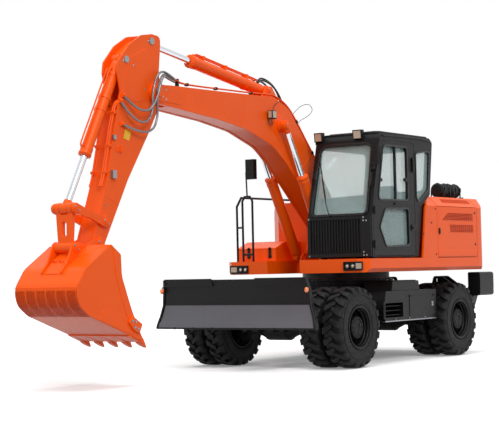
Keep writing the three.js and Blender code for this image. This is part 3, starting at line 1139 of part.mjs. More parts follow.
const boom = jointed(upper, BOOM_FOOT[0], BOOM_Y, BOOM_FOOT[1]);
node("boom", boomBody(), ORANGE, boom);
const boomCylinder = {
  length: BOOM_CYLINDER_BARREL, radius: BOOM_CYLINDER_RADIUS, rodRadius: 40, eyeRadius: 72, eyeWidth: 76,
  reach: distance(BOOM_CYLINDER_BASE, BOOM_CYLINDER_EYE), inside: 560, capWidth: 96,
};
const boomAim = aimed(upper, BOOM_CYLINDER_BASE, BOOM_CYLINDER_EYE, BOOM_Y);
const shaft = bar([0, -BOOM_CYLINDER_Y, 0], [0, BOOM_CYLINDER_Y, 0], PIN_RADIUS, PIN_SIDES);
const sideways = (body, y) => body.translate([0, y, 0]);
node("boom_cylinder_barrels", join([1, -1].map((s) => sideways(barrel(boomCylinder), s * BOOM_CYLINDER_Y)),
  shaft), ORANGE, boomAim);
node("left_boom_cylinder_rod", sideways(rod(boomCylinder), BOOM_CYLINDER_Y), CHROME, boomAim);
node("right_boom_cylinder_rod", sideways(rod(boomCylinder), -BOOM_CYLINDER_Y), CHROME, boomAim);

const armCylinder = {
  length: ARM_CYLINDER_BARREL, radius: ARM_CYLINDER_RADIUS, rodRadius: 42, eyeRadius: 75, eyeWidth: 140,
  pinHalf: ARM_CYLINDER_RADIUS + MOVE_GAP + PLATE + 12,
  pinRadius: PIN_RADIUS, reach: distance(ARM_CYLINDER_BASE, ARM_CYLINDER_EYE), inside: 830,
};
const armAim = aimed(boom, ARM_CYLINDER_BASE, ARM_CYLINDER_EYE, BOOM_Y);
node("arm_cylinder_barrel", barrel(armCylinder), ORANGE, armAim);
node("arm_cylinder_rod", rod(armCylinder), CHROME, armAim);

const arm = jointed(boom, ARM_PIVOT[0], BOOM_Y, ARM_PIVOT[1]);
node("arm", armBody(), ORANGE, arm);
const bucketCylinder = {
  length: BUCKET_CYLINDER_BARREL, radius: 68, rodRadius: 38, eyeRadius: 66, eyeWidth: 104,
    pinHalf: ARM_HALF_WIDTH + 8,
  pinRadius: PIN_RADIUS, reach: distance(BUCKET_CYLINDER_BASE, BUCKET_CYLINDER_EYE), inside: 700,
};
const bucketAim = aimed(arm, BUCKET_CYLINDER_BASE, BUCKET_CYLINDER_EYE, BOOM_Y);
node("bucket_cylinder_barrel", barrel(bucketCylinder), ORANGE, bucketAim);
node("bucket_cylinder_rod", rod(bucketCylinder), CHROME, bucketAim);

const idler = jointed(arm, IDLER_PIVOT[0], BOOM_Y, IDLER_PIVOT[1]);
node("idler_link", idlerLink(), ORANGE, idler);
const link = jointed(idler, BUCKET_CYLINDER_EYE[0], BOOM_Y, BUCKET_CYLINDER_EYE[1]);
node("bucket_link", bucketLink(), ORANGE, link);
const bucket = jointed(arm, BUCKET_PIVOT[0], BOOM_Y, BUCKET_PIVOT[1]);
node("bucket", bucketBody(), ORANGE, bucket);

// The ground plane under the middle of the machine's box becomes the origin.
const bounds = new THREE.Box3().setFromObject(machine, true);
machine.position.set(-(bounds.min.x + bounds.max.x) / 2, -(bounds.min.y + bounds.max.y) / 2, -bounds.min.z);

export default machine;
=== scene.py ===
# Looks of the wheeled excavator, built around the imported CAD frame.
# Lengths are millimetres about the slewing axis (X forward, Y left, Z up) until piece() places them.
import math

import bmesh
import bpy
from mathutils import Matrix, Vector
from mathutils.geometry import tessellate_polygon


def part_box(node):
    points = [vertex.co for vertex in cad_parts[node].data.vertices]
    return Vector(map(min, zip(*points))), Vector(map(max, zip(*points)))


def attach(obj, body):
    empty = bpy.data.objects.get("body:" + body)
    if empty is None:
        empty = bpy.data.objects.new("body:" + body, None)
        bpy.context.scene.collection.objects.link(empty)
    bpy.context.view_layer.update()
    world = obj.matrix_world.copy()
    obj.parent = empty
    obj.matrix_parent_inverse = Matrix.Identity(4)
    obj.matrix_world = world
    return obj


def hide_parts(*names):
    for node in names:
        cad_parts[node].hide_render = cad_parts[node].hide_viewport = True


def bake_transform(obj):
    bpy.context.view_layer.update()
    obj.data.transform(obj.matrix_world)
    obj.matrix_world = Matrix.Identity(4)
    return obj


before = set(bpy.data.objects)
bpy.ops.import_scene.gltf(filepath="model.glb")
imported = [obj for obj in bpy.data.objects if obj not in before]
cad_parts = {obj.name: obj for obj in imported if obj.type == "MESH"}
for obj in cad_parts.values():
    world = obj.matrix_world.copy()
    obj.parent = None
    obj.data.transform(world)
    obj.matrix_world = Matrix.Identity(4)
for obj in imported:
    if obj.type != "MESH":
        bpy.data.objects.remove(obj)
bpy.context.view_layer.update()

MM = 0.001
THICKEST_BEVEL = 0.35
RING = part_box("slew_ring")
ORIGIN = Vector(((RING[0].x + RING[1].x) / 2, 0, 0))
X, Y, Z = Vector((1, 0, 0)), Vector((0, 1, 0)), Vector((0, 0, 1))
PLATE, SLAB, SECTION = (X, Z, Y), (X, Y, Z), (Y, Z, X)

# ------------------------------------------------------------------ outlines


def rounded(corners, step=0.16):
    """A closed loop of corners (u, v) or (u, v, radius), where a radius rounds the corner."""
    loop = []
    count = len(corners)
    for i, corner in enumerate(corners):
        here = Vector(corner[:2])
        radius = corner[2] if len(corner) > 2 else 0
        if not radius:
            loop.append(tuple(here))
            continue
        to = (Vector(corners[i - 1][:2]) - here).normalized()
        away = (Vector(corners[(i + 1) % count][:2]) - here).normalized()
        half = math.acos(max(-1, min(1, to.dot(away)))) / 2
        centre = here + (to + away).normalized() * (radius / math.sin(half))
        start = here + to * (radius / math.tan(half)) - centre
        turn = math.pi - 2 * half
        sign = -1 if to.x * away.y - to.y * away.x > 0 else 1
        steps = max(2, math.ceil(turn / step))
        for k in range(steps + 1):
            angle = sign * turn * k / steps
            c, s = math.cos(angle), math.sin(angle)
            loop.append((centre.x + start.x * c - start.y * s, centre.y + start.x * s + start.y * c))
    return loop


def arc(centre, radius, start, end, steps=14):
    angles = [math.radians(start + (end - start) * k / steps) for k in range(steps + 1)]
    return [(centre[0] + radius * math.cos(a), centre[1] + radius * math.sin(a)) for a in angles]


def circle(centre, radius, steps):
    return arc(centre, radius, 0, 360 * (steps - 1) / steps, steps - 1)


def turns(count, shift=0.0):
    """Angles evenly spaced round a full turn, from a shift counted in steps."""
    return [2 * math.pi * (k + shift) / count for k in range(count)]


def rect(x, y, *radius):
    """Corners of a rectangle between two pairs of limits, with a radius for rounded() where one is given."""
    return [(x[0], y[0], *radius), (x[1], y[0], *radius), (x[1], y[1], *radius), (x[0], y[1], *radius)]


def drum(radius, half, edge):
    """Profile of a solid cylinder with rounded rims, which reaches as far on both sides of its middle."""
    return [(0, -half), (radius, -half, edge), (radius, half, edge), (0, half)]


def area(loop):
    return sum(a[0] * b[1] - b[0] * a[1] for a, b in zip(loop, loop[1:] + loop[:1])) / 2


def shrunk(loop, distance):
    """The loop moved to its left by a distance, which is inwards where it runs counter-clockwise."""
    moved = []
    for i, (x, y) in enumerate(loop):
        a = Vector((x - loop[i - 1][0], y - loop[i - 1][1])).normalized()
        after = loop[(i + 1) % len(loop)]
        b = Vector((after[0] - x, after[1] - y)).normalized()
        scale = distance / max(0.35, 1 + a.dot(b))
        moved.append((x - (a.y + b.y) * scale, y + (a.x + b.x) * scale))
    return moved


def without_repeats(loop):
    kept = []
    for point in loop:
        if not kept or math.dist(point, kept[-1]) > 0.05:
            kept.append(tuple(point))
    if math.dist(kept[0], kept[-1]) < 0.05:
        kept.pop()
    return kept


def spline(points, per=8):
    """A smooth line through points, by Catmull and Rom."""
    points = [Vector(p) for p in points]
    padded = [points[0] * 2 - points[1], *points, points[-1] * 2 - points[-2]]
    line = []
    for i in range(1, len(padded) - 2):
        a, b, c, d = padded[i - 1:i + 3]
        for k in range(per):
            t = k / per
            line.append(0.5 * (2 * b + (c - a) * t + (2 * a - 5 * b + 4 * c - d) * t * t
                               + (3 * b - a - 3 * c + d) * t ** 3))
    return line + [points[-1]]


def builds(count):
    return [Build() for _ in range(count)]


# ------------------------------------------------------------------ mesh building


def tipped(point, angle):
    """The matrix that takes a build to a point and turns it about the Y axis there."""
    return Matrix.Translation(point) @ Matrix.Rotation(angle, 4, "Y")


class Build:
    """A mesh under construction: closed shells, in millimetres."""

    def __init__(self):
        self.verts = []
        self.faces = []

    def add(self, verts, faces):
        base = len(self.verts)
        self.verts += [Vector(v) for v in verts]
        self.faces += [[base + i for i in face] for face in faces]
        return self

    def join(self, other, matrix=Matrix.Identity(4)):
        return self.add([matrix @ v for v in other.verts], other.faces)

    def prism(self, loops, lo, hi, axes=PLATE, bevel=3.0):
        """Outline and holes pushed between two limits along the third axis, with rounded edges."""
        lo, hi = sorted((lo, hi))
        if not isinstance(loops[0][0], (tuple, list)):
            loops = [loops]
        loops = [without_repeats(loop) for loop in loops]
        loops = [loop if (area(loop) > 0) == (k == 0) else loop[::-1] for k, loop in enumerate(loops)]
        bevel = min(bevel, (hi - lo) * 0.45)
        steps = (0, math.pi / 4, math.pi / 2)
        levels = [(lo + bevel * (1 - math.cos(t)), bevel * (1 - math.sin(t))) for t in steps]
        levels += [(lo + hi - w, inset) for w, inset in reversed(levels)]
        verts, faces, starts = [], [], []
        for loop in loops:
            first, n = len(verts), len(loop)
            starts.append(first)
            for w, inset in levels:
                ring = shrunk(loop, inset) if inset else loop
                verts += [axes[0] * u + axes[1] * v + axes[2] * w for u, v in ring]
            for r in range(len(levels) - 1):
                for i in range(n):
                    a, b = first + r * n + i, first + r * n + (i + 1) % n
                    faces.append([a, b, b + n, a + n])
        for level, inset in ((0, levels[0][1]), (len(levels) - 1, levels[-1][1])):
            flat, index = [], []
            for loop, first in zip(loops, starts):
                ring = shrunk(loop, inset) if inset else loop
                flat.append([Vector((u, v, 0)) for u, v in ring])
                index += [first + level * len(loop) + i for i in range(len(loop))]
            faces += [[index[i] for i in tri] for tri in tessellate_polygon(flat)]
        return self.add(verts, faces)

    def box(self, x, y, z, bevel=3.0, place=None):
        """A block between three pairs of limits, with a bevel that stays small beside its smallest side."""
        x, y, z = sorted(x), sorted(y), sorted(z)
        bevel = min(bevel, *((hi - lo) * THICKEST_BEVEL for lo, hi in (x, y, z)))
        if place:
            return self.join(Build().box(x, y, z, bevel), place)
        return self.prism(rect(x, y), *z, SLAB, bevel)

    def lathe(self, profile, at, axis=Y, sides=48, closed=False):
        """Corners (radius, distance along the axis) turned about an axis through a point."""
        axis = Vector(axis).normalized()
        side = axis.orthogonal().normalized()
        up = axis.cross(side)
        rings, verts, faces = [], [], []
        for radius, along in profile:
            centre = Vector(at) + axis * along
            if radius < 1e-6:
                rings.append([len(verts)] * sides)
                verts.append(centre)
                continue
            rings.append(list(range(len(verts), len(verts) + sides)))
            for a in turns(sides):
                verts.append(centre + side * (radius * math.cos(a)) + up * (radius * math.sin(a)))
        pairs = list(zip(rings, rings[1:])) + ([(rings[-1], rings[0])] if closed else [])
        for a, b in pairs:
            for k in range(sides):
                face = [a[k], a[(k + 1) % sides], b[(k + 1) % sides], b[k]]
                face = [v for i, v in enumerate(face) if v not in face[:i]]
                if len(face) > 2:
                    faces.append(face)
        return self.add(verts, faces)

    def disc(self, at, axis, radius, height, edge=2.0, sides=32):
        """A round plate with a rounded rim, from a point along an axis."""
        profile = rounded([(0, 0), (radius, 0, edge / 2), (radius, height, edge), (0, height)], 0.8)
        return self.lathe(profile, at, axis, sides)

    def bolt(self, at, axis, radius=11, height=9):
        self.lathe([(0, -1), (radius * 1.35, -1), (radius * 1.35, 2), (0, 2)], at, axis, 16)
        profile = [(0, 0), (radius, 0), (radius, height * 0.8), (radius * 0.8, height), (0, height)]
        return self.lathe(profile, at, axis, 6)

    def tube(self, path, radius, sides=14):
        path = [Vector(p) for p in path]
        count = len(path)
        heading = []
        for i in range(count):
            step = path[min(i + 1, count - 1)] - path[max(i - 1, 0)]
            heading.append(step.normalized())
        side = heading[0].orthogonal().normalized()
        verts, faces = [], []
        for i, centre in enumerate(path):
            side = (side - heading[i] * side.dot(heading[i])).normalized()
            up = heading[i].cross(side)
            for a in turns(sides):
                verts.append(centre + side * (radius * math.cos(a)) + up * (radius * math.sin(a)))
        for i in range(count - 1):
            for k in range(sides):
                a, b = i * sides + k, i * sides + (k + 1) % sides
                faces.append([a, b, b + sides, a + sides])
        faces += [list(range(sides)), list(range((count - 1) * sides, count * sides))]
        return self.add(verts, faces)


def bent(points, radius, steps=6):
    """A line through points with its corners rounded."""
    points = [Vector(p) for p in points]
    line = [points[0]]
    for before, here, after in zip(points, points[1:], points[2:]):
        a, b = (before - here), (after - here)
        half = a.angle(b) / 2
        cut = min(radius / math.tan(half), a.length * 0.48, b.length * 0.48)
        start, end = here + a.normalized() * cut, here + b.normalized() * cut
        for k in range(steps + 1):
            t = k / steps
            line.append(start * (1 - t) ** 2 + here * 2 * t * (1 - t) + end * t * t)
    return line + [points[-1]]


# ------------------------------------------------------------------ materials


def srgb(r, g, b):
    def linear(c):
        c /= 255
        return c / 12.92 if c <= 0.04045 else ((c + 0.055) / 1.055) ** 2.4
    return (linear(r), linear(g), linear(b), 1)


NOISE_ROUGHNESS = 0.55


class Nodes:
    """Short ways to add and link shader nodes."""

    def __init__(self, material):
        self.tree = material.node_tree
        self.shader = self.tree.nodes["Principled BSDF"]
        self.place = self.new("ShaderNodeTexCoord").outputs["Object"]

    def new(self, kind, **settings):
        node = self.tree.nodes.new(kind)
        for key, value in settings.items():
            setattr(node, key, value)
        return node

    def link(self, a, b):
        self.tree.links.new(a, b)

    def noise(self, scale, detail):
        node = self.new("ShaderNodeTexNoise")
        node.inputs["Scale"].default_value = scale
        node.inputs["Detail"].default_value = detail
        node.inputs["Roughness"].default_value = NOISE_ROUGHNESS
        self.link(self.place, node.inputs["Vector"])
        return node.outputs["Fac"]

    def between(self, value, low, high, start=0.3, end=0.7):
        node = self.new("ShaderNodeMapRange")
        for name, number in (("From Min", start), ("From Max", end), ("To Min", low), ("To Max", high)):
            node.inputs[name].default_value = number
        self.link(value, node.inputs["Value"])
        return node.outputs["Result"]

    def mixed(self, factor, a, b):
        node = self.new("ShaderNodeMix", data_type="RGBA")
        for socket, value in ((node.inputs[0], factor), (node.inputs[6], a), (node.inputs[7], b)):
            if isinstance(value, bpy.types.NodeSocket):
                self.link(value, socket)
            else:
                socket.default_value = value
        return node.outputs[2]

    def bump(self, height, strength):
        node = self.new("ShaderNodeBump")
        node.inputs["Strength"].default_value = strength
        node.inputs["Distance"].default_value = MM
        self.link(height, node.inputs["Height"])
        self.link(node.outputs["Normal"], self.shader.inputs["Normal"])

    def edges(self, radius):
        """1 along the edges of the mesh and 0 on its faces."""
        round_ = self.new("ShaderNodeBevel", samples=4)
        round_.inputs["Radius"].default_value = radius
        flat = self.new("ShaderNodeNewGeometry").outputs["Normal"]
        dot = self.new("ShaderNodeVectorMath", operation="DOT_PRODUCT")
        self.link(round_.outputs["Normal"], dot.inputs[0])
        self.link(flat, dot.inputs[1])
        return self.between(dot.outputs["Value"], 1, 0, 0.75, 0.97)


def scaled(colour, factor):
    return tuple(min(1, c * factor) for c in colour[:3]) + (1,)


def surface(name, colour, rough=(0.35, 0.5), vary=0.06, metallic=0.0, coat=0.0, coat_rough=0.1, grain=0.0,
            grain_scale=600, blotch=2.2, edge_highlight=None, specular=0.5):
    """A painted, moulded or machined surface with uneven colour and gloss, fine grain and a painted highlight
    along its edges.
    """
    made = bpy.data.materials.new(name)
    made.use_nodes = True
    nodes = Nodes(made)
    shader = nodes.shader
    broad = nodes.noise(blotch, 4)
    fine = nodes.noise(blotch * 18, 3)
    base = nodes.mixed(nodes.between(broad, 0, 1), scaled(colour, 1 - vary), scaled(colour, 1 + vary))
    base = nodes.mixed(nodes.between(fine, 0, 0.35), base, scaled(colour, 1 - vary * 1.4))
    # A lighter tint along the mesh's edges, broken up by noise: a painted edge highlight.
    if edge_highlight:
        tint, amount, radius = edge_highlight
        painted_highlight = nodes.new("ShaderNodeMath", operation="MULTIPLY")
        nodes.link(nodes.edges(radius), painted_highlight.inputs[0])
        nodes.link(nodes.between(nodes.noise(9, 5), 0, amount, 0.35, 0.65), painted_highlight.inputs[1])
        base = nodes.mixed(painted_highlight.outputs[0], base, tint)
    nodes.link(base, shader.inputs["Base Color"])
    nodes.link(nodes.between(fine, rough[0], rough[1]), shader.inputs["Roughness"])
    shader.inputs["Metallic"].default_value = metallic
    shader.inputs["Coat Weight"].default_value = coat
    shader.inputs["Coat Roughness"].default_value = coat_rough
    shader.inputs["Specular IOR Level"].default_value = specular
    if grain:
        nodes.bump(nodes.noise(grain_scale, 2), grain)
    return made


# The lighter edge tints of these finishes are painted highlights along the edges.
ORANGE = surface("orange_paint", srgb(255, 92, 4), (0.3, 0.42), 0.05, coat=0.06, coat_rough=0.16, grain=0.05,
                 grain_scale=260, edge_highlight=(srgb(255, 150, 84), 0.4, 0.005), specular=0.22)
BLACK = surface("black_paint", srgb(16, 16, 17), (0.34, 0.5), 0.12, grain=0.06,
                grain_scale=300, edge_highlight=(srgb(62, 62, 66), 0.4, 0.004), specular=0.2)
FRAME_BLACK = surface("frame_black", srgb(13, 13, 14), (0.45, 0.62), 0.15, grain=0.1, grain_scale=220,
                      edge_highlight=(srgb(56, 56, 58), 0.35, 0.004), specular=0.18)
GREY = surface("blade_grey", srgb(96, 96, 101), (0.42, 0.55), 0.07, metallic=0.15, grain=0.06,
               grain_scale=240, edge_highlight=(srgb(150, 150, 155), 0.5, 0.004))
STEEL = surface("machined_steel", srgb(150, 152, 156), (0.25, 0.45), 0.08, metallic=0.9, grain=0.04)
CHROME = surface("chrome_rod", srgb(214, 218, 224), (0.08, 0.16), 0.03, metallic=1.0, blotch=6)
RUBBER = surface("tyre_rubber", srgb(23, 23, 24), (0.5, 0.72), 0.14, grain=0.25, grain_scale=180,
                 edge_highlight=(srgb(66, 66, 68), 0.35, 0.006), specular=0.2)
HOSE = surface("hose_rubber", srgb(16, 16, 18), (0.22, 0.36), 0.1, grain=0.05, specular=0.4)
PLASTIC = surface("moulded_plastic", srgb(21, 22, 23), (0.42, 0.58), 0.08, grain=0.35, grain_scale=900,
                  specular=0.25)
DARK = surface("shadow_black", srgb(9, 9, 10), (0.6, 0.8), 0.2, grain=0.05)
TAN = surface("tan_lens", srgb(190, 168, 142), (0.12, 0.25), 0.06, coat=0.7, coat_rough=0.05, grain=0.2,
              grain_scale=120)
AMBER = surface("amber_lens", srgb(255, 122, 10), (0.1, 0.2), 0.06, coat=0.9, coat_rough=0.03)
YELLOW = surface("yellow_plate", srgb(246, 190, 24), (0.3, 0.42), 0.04, grain=0.03)
# Dark orange for the panels behind the grille slats: painted shade.
PAINTED_SHADE_ORANGE = surface("shaded_orange", srgb(150, 32, 8), (0.5, 0.65), 0.1, grain=0.1, specular=0.2)


def glass(name, colour, alpha):
    made = surface(name, colour, (0.02, 0.05), 0.03, coat=0.6, coat_rough=0.02, blotch=1.2)
    made.node_tree.nodes["Principled BSDF"].inputs["Alpha"].default_value = alpha
    return made


GLASS = glass("pale_glass", srgb(202, 232, 228), 0.28)


def fabric(name, colour):
    made = surface(name, colour, (0.75, 0.9), 0.1, blotch=6)
    nodes = Nodes(made)
    weave = [nodes.new("ShaderNodeTexWave", bands_direction=d) for d in ("X", "Z")]
    both = nodes.new("ShaderNodeMath", operation="MAXIMUM")
    for k, wave in enumerate(weave):
        wave.inputs["Scale"].default_value = 260
        nodes.link(nodes.place, wave.inputs["Vector"])
        nodes.link(wave.outputs["Fac"], both.inputs[k])
    nodes.bump(both.outputs[0], 0.5)
    nodes.shader.inputs["Sheen Weight"].default_value = 0.4
    return made


FABRIC = fabric("seat_fabric", srgb(52, 55, 60))


def round_edges(made, width, angle):
    """A bevel along the edges that turn by more than an angle in degrees."""
    edge = made.modifiers.new("edges", "BEVEL")
    edge.width = width * MM
    edge.segments = 2
    edge.limit_method = "ANGLE"
    edge.angle_limit = math.radians(angle)


def piece(name, build, material, body, replaces=(), sharp=40, bevel=0.0):
    """Turns a build into an object in metres, with its finish, that rides on a body of the frame."""
    mesh = bpy.data.meshes.new(name)
    mesh.from_pydata([v * MM + ORIGIN for v in build.verts], [], build.faces)
    shells = bmesh.new()
    shells.from_mesh(mesh)
    bmesh.ops.recalc_face_normals(shells, faces=shells.faces)
    shells.to_mesh(mesh)
    shells.free()
    mesh.shade_smooth()
    mesh.set_sharp_from_angle(angle=math.radians(sharp))
    mesh.materials.append(material)
    made = bpy.data.objects.new(name, mesh)
    bpy.context.scene.collection.objects.link(made)
    if bevel:
        round_edges(made, bevel, sharp)
    weighted = made.modifiers.new("normals", "WEIGHTED_NORMAL")
    weighted.keep_sharp = True
    if body:
        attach(made, body)
    if replaces:
        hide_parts(*replaces)
    return made


def finish_node(name, material, bevel):
    """A CAD node that stays: its edges are rounded and it takes a detailed finish."""
    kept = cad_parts[name]
    kept.data.materials.clear()
    kept.data.materials.append(material)
    kept.data.shade_smooth()
    if bevel:
        weld = kept.modifiers.new("weld", "WELD")
        weld.merge_threshold = 0.05 * MM
        flat = kept.modifiers.new("flat", "DECIMATE")
        flat.decimate_type = "DISSOLVE"
        flat.angle_limit = math.radians(1)
        round_edges(kept, bevel, 28)
        kept.modifiers.new("normals", "WEIGHTED_NORMAL")


# ------------------------------------------------------------------ camera, light and floor


SENSOR_MM, FOCAL_MM = 36, 106.1
CAMERA_PLACE = Vector((17.986, 11.040, 1.297))
CAMERA_RIGHT = Vector((-0.57745, 0.81613, -0.02212))
CAMERA_UP = Vector((0.01762, 0.03954, 0.99906))
FAR_CLIP = 200
FLOOR_HALF, FLOOR_Z = 60, -0.002
WORLD_STRENGTH, FLOOR_GLOW = 0.45, 0.2


def camera():
    lens = bpy.data.cameras.new("camera")
    lens.sensor_width = SENSOR_MM
    lens.lens = FOCAL_MM
    lens.clip_end = FAR_CLIP
    made = bpy.data.objects.new("camera", lens)
    back = CAMERA_RIGHT.cross(CAMERA_UP).normalized()
    up = back.cross(CAMERA_RIGHT).normalized()
    turn = Matrix((CAMERA_RIGHT.normalized(), up, back)).transposed().to_4x4()
    made.matrix_world = Matrix.Translation(CAMERA_PLACE + ORIGIN) @ turn
    bpy.context.scene.collection.objects.link(made)
    bpy.context.scene.camera = made


def sun(name, towards, strength, angle):
    """Soft parallel light that comes from a direction, so that the whole floor is lit evenly."""
    lamp = bpy.data.lights.new(name, "SUN")
    lamp.energy = strength
    lamp.angle = math.radians(angle)
    made = bpy.data.objects.new(name, lamp)
    made.rotation_mode = "QUATERNION"
    made.rotation_quaternion = (-Vector(towards)).to_track_quat("-Z", "Y")
    bpy.context.scene.collection.objects.link(made)


def seen_directly(tree):
    """1 for camera, glossy and transmission rays, which show the pale background, and 0 for the rest."""
    path = tree.nodes.new("ShaderNodeLightPath")
    total = path.outputs["Is Camera Ray"]
    for name in ("Is Glossy Ray", "Is Transmission Ray"):
        most = tree.nodes.new("ShaderNodeMath")
        most.operation = "MAXIMUM"
        tree.links.new(total, most.inputs[0])
        tree.links.new(path.outputs[name], most.inputs[1])
        total = most.outputs[0]
    return total


def studio():
    world = bpy.data.worlds.new("studio")
    bpy.context.scene.world = world
    world.use_nodes = True
    tree = world.node_tree
    tree.nodes.clear()
    out = tree.nodes.new("ShaderNodeOutputWorld")
    mix = tree.nodes.new("ShaderNodeMixShader")
    light, shown = (tree.nodes.new("ShaderNodeBackground") for _ in range(2))
    light.inputs["Color"].default_value = (1, 1, 1, 1)
    light.inputs["Strength"].default_value = WORLD_STRENGTH
    shown.inputs["Color"].default_value = (1, 1, 1, 1)
    tree.links.new(seen_directly(tree), mix.inputs[0])
    tree.links.new(light.outputs[0], mix.inputs[1])
    tree.links.new(shown.outputs[0], mix.inputs[2])
    tree.links.new(mix.outputs[0], out.inputs[0])

    mesh = bpy.data.meshes.new("floor")
    corners = [(x, y, 0) for x, y in rect((-FLOOR_HALF, FLOOR_HALF), (-FLOOR_HALF, FLOOR_HALF))]
    mesh.from_pydata(corners, [], [(0, 1, 2, 3)])
    floor = bpy.data.objects.new("floor", mesh)
    floor.location.z = FLOOR_Z
    bpy.context.scene.collection.objects.link(floor)
    made = bpy.data.materials.new("floor")
    made.use_nodes = True
    tree = made.node_tree
    tree.nodes.clear()
    out = tree.nodes.new("ShaderNodeOutputMaterial")
    pale, dim = (tree.nodes.new("ShaderNodeBsdfDiffuse") for _ in range(2))
    pale.inputs["Color"].default_value = (0.96, 0.96, 0.96, 1)
    dim.inputs["Color"].default_value = (0.3, 0.3, 0.31, 1)
    lift = tree.nodes.new("ShaderNodeEmission")
    lift.inputs["Strength"].default_value = FLOOR_GLOW
    sum_ = tree.nodes.new("ShaderNodeAddShader")
    mix = tree.nodes.new("ShaderNodeMixShader")
    tree.links.new(pale.outputs[0], sum_.inputs[0])
    tree.links.new(lift.outputs[0], sum_.inputs[1])
    tree.links.new(seen_directly(tree), mix.inputs[0])
    tree.links.new(dim.outputs[0], mix.inputs[1])
    tree.links.new(sum_.outputs[0], mix.inputs[2])
    tree.links.new(mix.outputs[0], out.inputs[0])
    mesh.materials.append(made)

    sun("key", (0.45, 0.75, 0.62), 1.25, 22)
    sun("front", (0.9, 0.1, 0.35), 0.5, 30)
    sun("top", (0.05, 0.1, 1), 1.35, 40)
    bpy.context.scene.view_settings.view_transform = "Standard"


camera()
studio()

# ------------------------------------------------------------------ wheels

WHEEL_Z = 525
TWIN_Y = 932.5
TWIN = 175
LUGS = 21


def tyre_pair():
    made = Build()
    carcass = rounded([
        (262, -108), (292, -128, 14), (330, -140, 30), (400, -142, 60), (462, -136, 24), (482, -112, 22),
        (486, 0), (482, 112, 22), (462, 136, 24), (400, 142, 60), (330, 140, 30), (292, 128, 14),
        (262, 108)], 0.3)
    # centre line of a lug: outer corner (y, radius), inner corner (y, radius), shift round the tyre, width
    stations = [
        ((-16, 523), (-16, 478), 0, 56), ((14, 525), (14, 478), 12, 66), ((48, 525), (48, 478), 40, 72),
        ((80, 524), (80, 478), 56, 80), ((108, 520), (106, 474), 62, 88), ((130, 510), (120, 468), 68, 90),
        ((142, 486), (128, 460), 72, 86), ((143.4, 462), (130, 452), 74, 78),
        ((141.5, 438), (130, 438), 76, 70)]
    for middle in (-TWIN, TWIN):
        made.lathe([(r, y + middle) for r, y in carcass], (0, 0, 0), Y, 72, closed=True)
        # rings moulded in the sidewall
        for side in (-1, 1):
            for radius, y in ((302, 133.5), (424, 142.6)):
                ring = [(radius + 4 * math.cos(a), side * y + middle + 3 * math.sin(a))
                        for a in turns(8)]
                made.lathe(ring, (0, 0, 0), Y, 72, closed=True)
        for side in (-1, 1):
            for start in turns(LUGS, 0.5 if side > 0 else 0):
                verts, faces = [], []
                for (yo, ro), (yi, ri), shift, width in stations:
                    for y, r, w in ((yi, ri, width + 16), (yo, ro, width - 8)):
                        pair = []
                        for s in (-1, 1):
                            a = start + (shift + s * w / 2) / 525
                            pair.append(Vector((r * math.sin(a), side * y + middle, r * math.cos(a))))
                        verts += pair
                for i in range(len(stations) - 1):
                    a = 4 * i
                    for p, q in ((0, 1), (1, 3), (3, 2), (2, 0)):
                        faces.append([a + p, a + q, a + 4 + q, a + 4 + p])
                end = 4 * (len(stations) - 1)
                faces += [[0, 1, 3, 2], [end, end + 1, end + 3, end + 2]]
                made.add(verts, faces)
    spacer = [(296, -40), (318, -40), (318, 40), (296, 40)]
    return made.lathe(spacer, (0, 0, 0), Y, 48, closed=True)


def rim_pair():
    made = Build()
    half = [(262, 286), (268, 298, 6), (280, 299, 3), (281, 311, 4), (266, 313, 5), (255, 305, 8),
            (252, 283, 6), (246, 276, 5), (244, 240, 6), (236, 232, 6), (234, 160, 8), (226, 150, 8)]
    loop = rounded(half + [(r, -y, *e) for r, y, *e in reversed(half)], 0.4)
    made.lathe(loop, (0, 0, 0), Y, 72, closed=True)
    disc = rounded([(100, -42), (232, -46, 4), (232, -16, 4), (190, -14, 6), (150, -4, 6), (100, -4)], 0.4)
    made.lathe(disc, (0, 0, 0), Y, 72, closed=True)
    for a in turns(10):
        made.bolt((176 * math.sin(a), -12, 176 * math.cos(a)), Y, 14, 16)
    made.tube(spline([(0, 150, 236), (0, 190, 226), (0, 240, 224), (0, 262, 232)], 4), 5, 8)
    return made


def hub():
    made = Build()
    profile = rounded([
        (0, 264), (52, 264), (56, 270, 3), (96, 271, 3), (100, 266), (104, 266), (108, 272, 2), (134, 272, 5),
        (145, 262, 5), (146, 205, 3), (152, 200, 3), (152, 176, 3), (146, 170, 3), (144, 20), (132, -10),
        (118, -150), (90, -240), (0, -240)], 0.4)
    made.lathe(profile, (0, 0, 0), Y, 64)
    for a in turns(12):
        made.bolt((121 * math.sin(a), 271, 121 * math.cos(a)), Y, 8, 8)
    return made


def hub_plugs():
    made = Build()
    for a in turns(4):
        made.disc((76 * math.sin(a + 0.5), 269, 76 * math.cos(a + 0.5)), Y, 17, 7, 3, 20)
    return made


def placed(build, x, side):
    """The build on a wheel's centre, turned round for the right side."""
    turn = Matrix.Translation((x, side * TWIN_Y, WHEEL_Z))
    if side < 0:
        turn = turn @ Matrix.Rotation(math.pi, 4, "X")
    return Build().join(build, turn)


def wheels():
    tyres, rims, hubs, plugs = tyre_pair(), rim_pair(), hub(), hub_plugs()
    for end, x in (("front", 1700), ("rear", -1100)):
        for name, side in (("left", 1), ("right", -1)):
            corner = end + "_" + name
            body = corner + "_wheel"
            piece(corner + "_tread_tyres", placed(tyres, x, side), RUBBER, body, [corner + "_tyres"], 42, 4)
            piece(corner + "_dished_rims", placed(rims, x, side), BLACK, body, [corner + "_rims"])
            piece(corner + "_hub", placed(hubs, x, side), FRAME_BLACK, body)
            piece(corner + "_hub_plugs", placed(plugs, x, side), DARK, body)


wheels()

# ------------------------------------------------------------------ hydraulic cylinders

BOOM_Y = -150


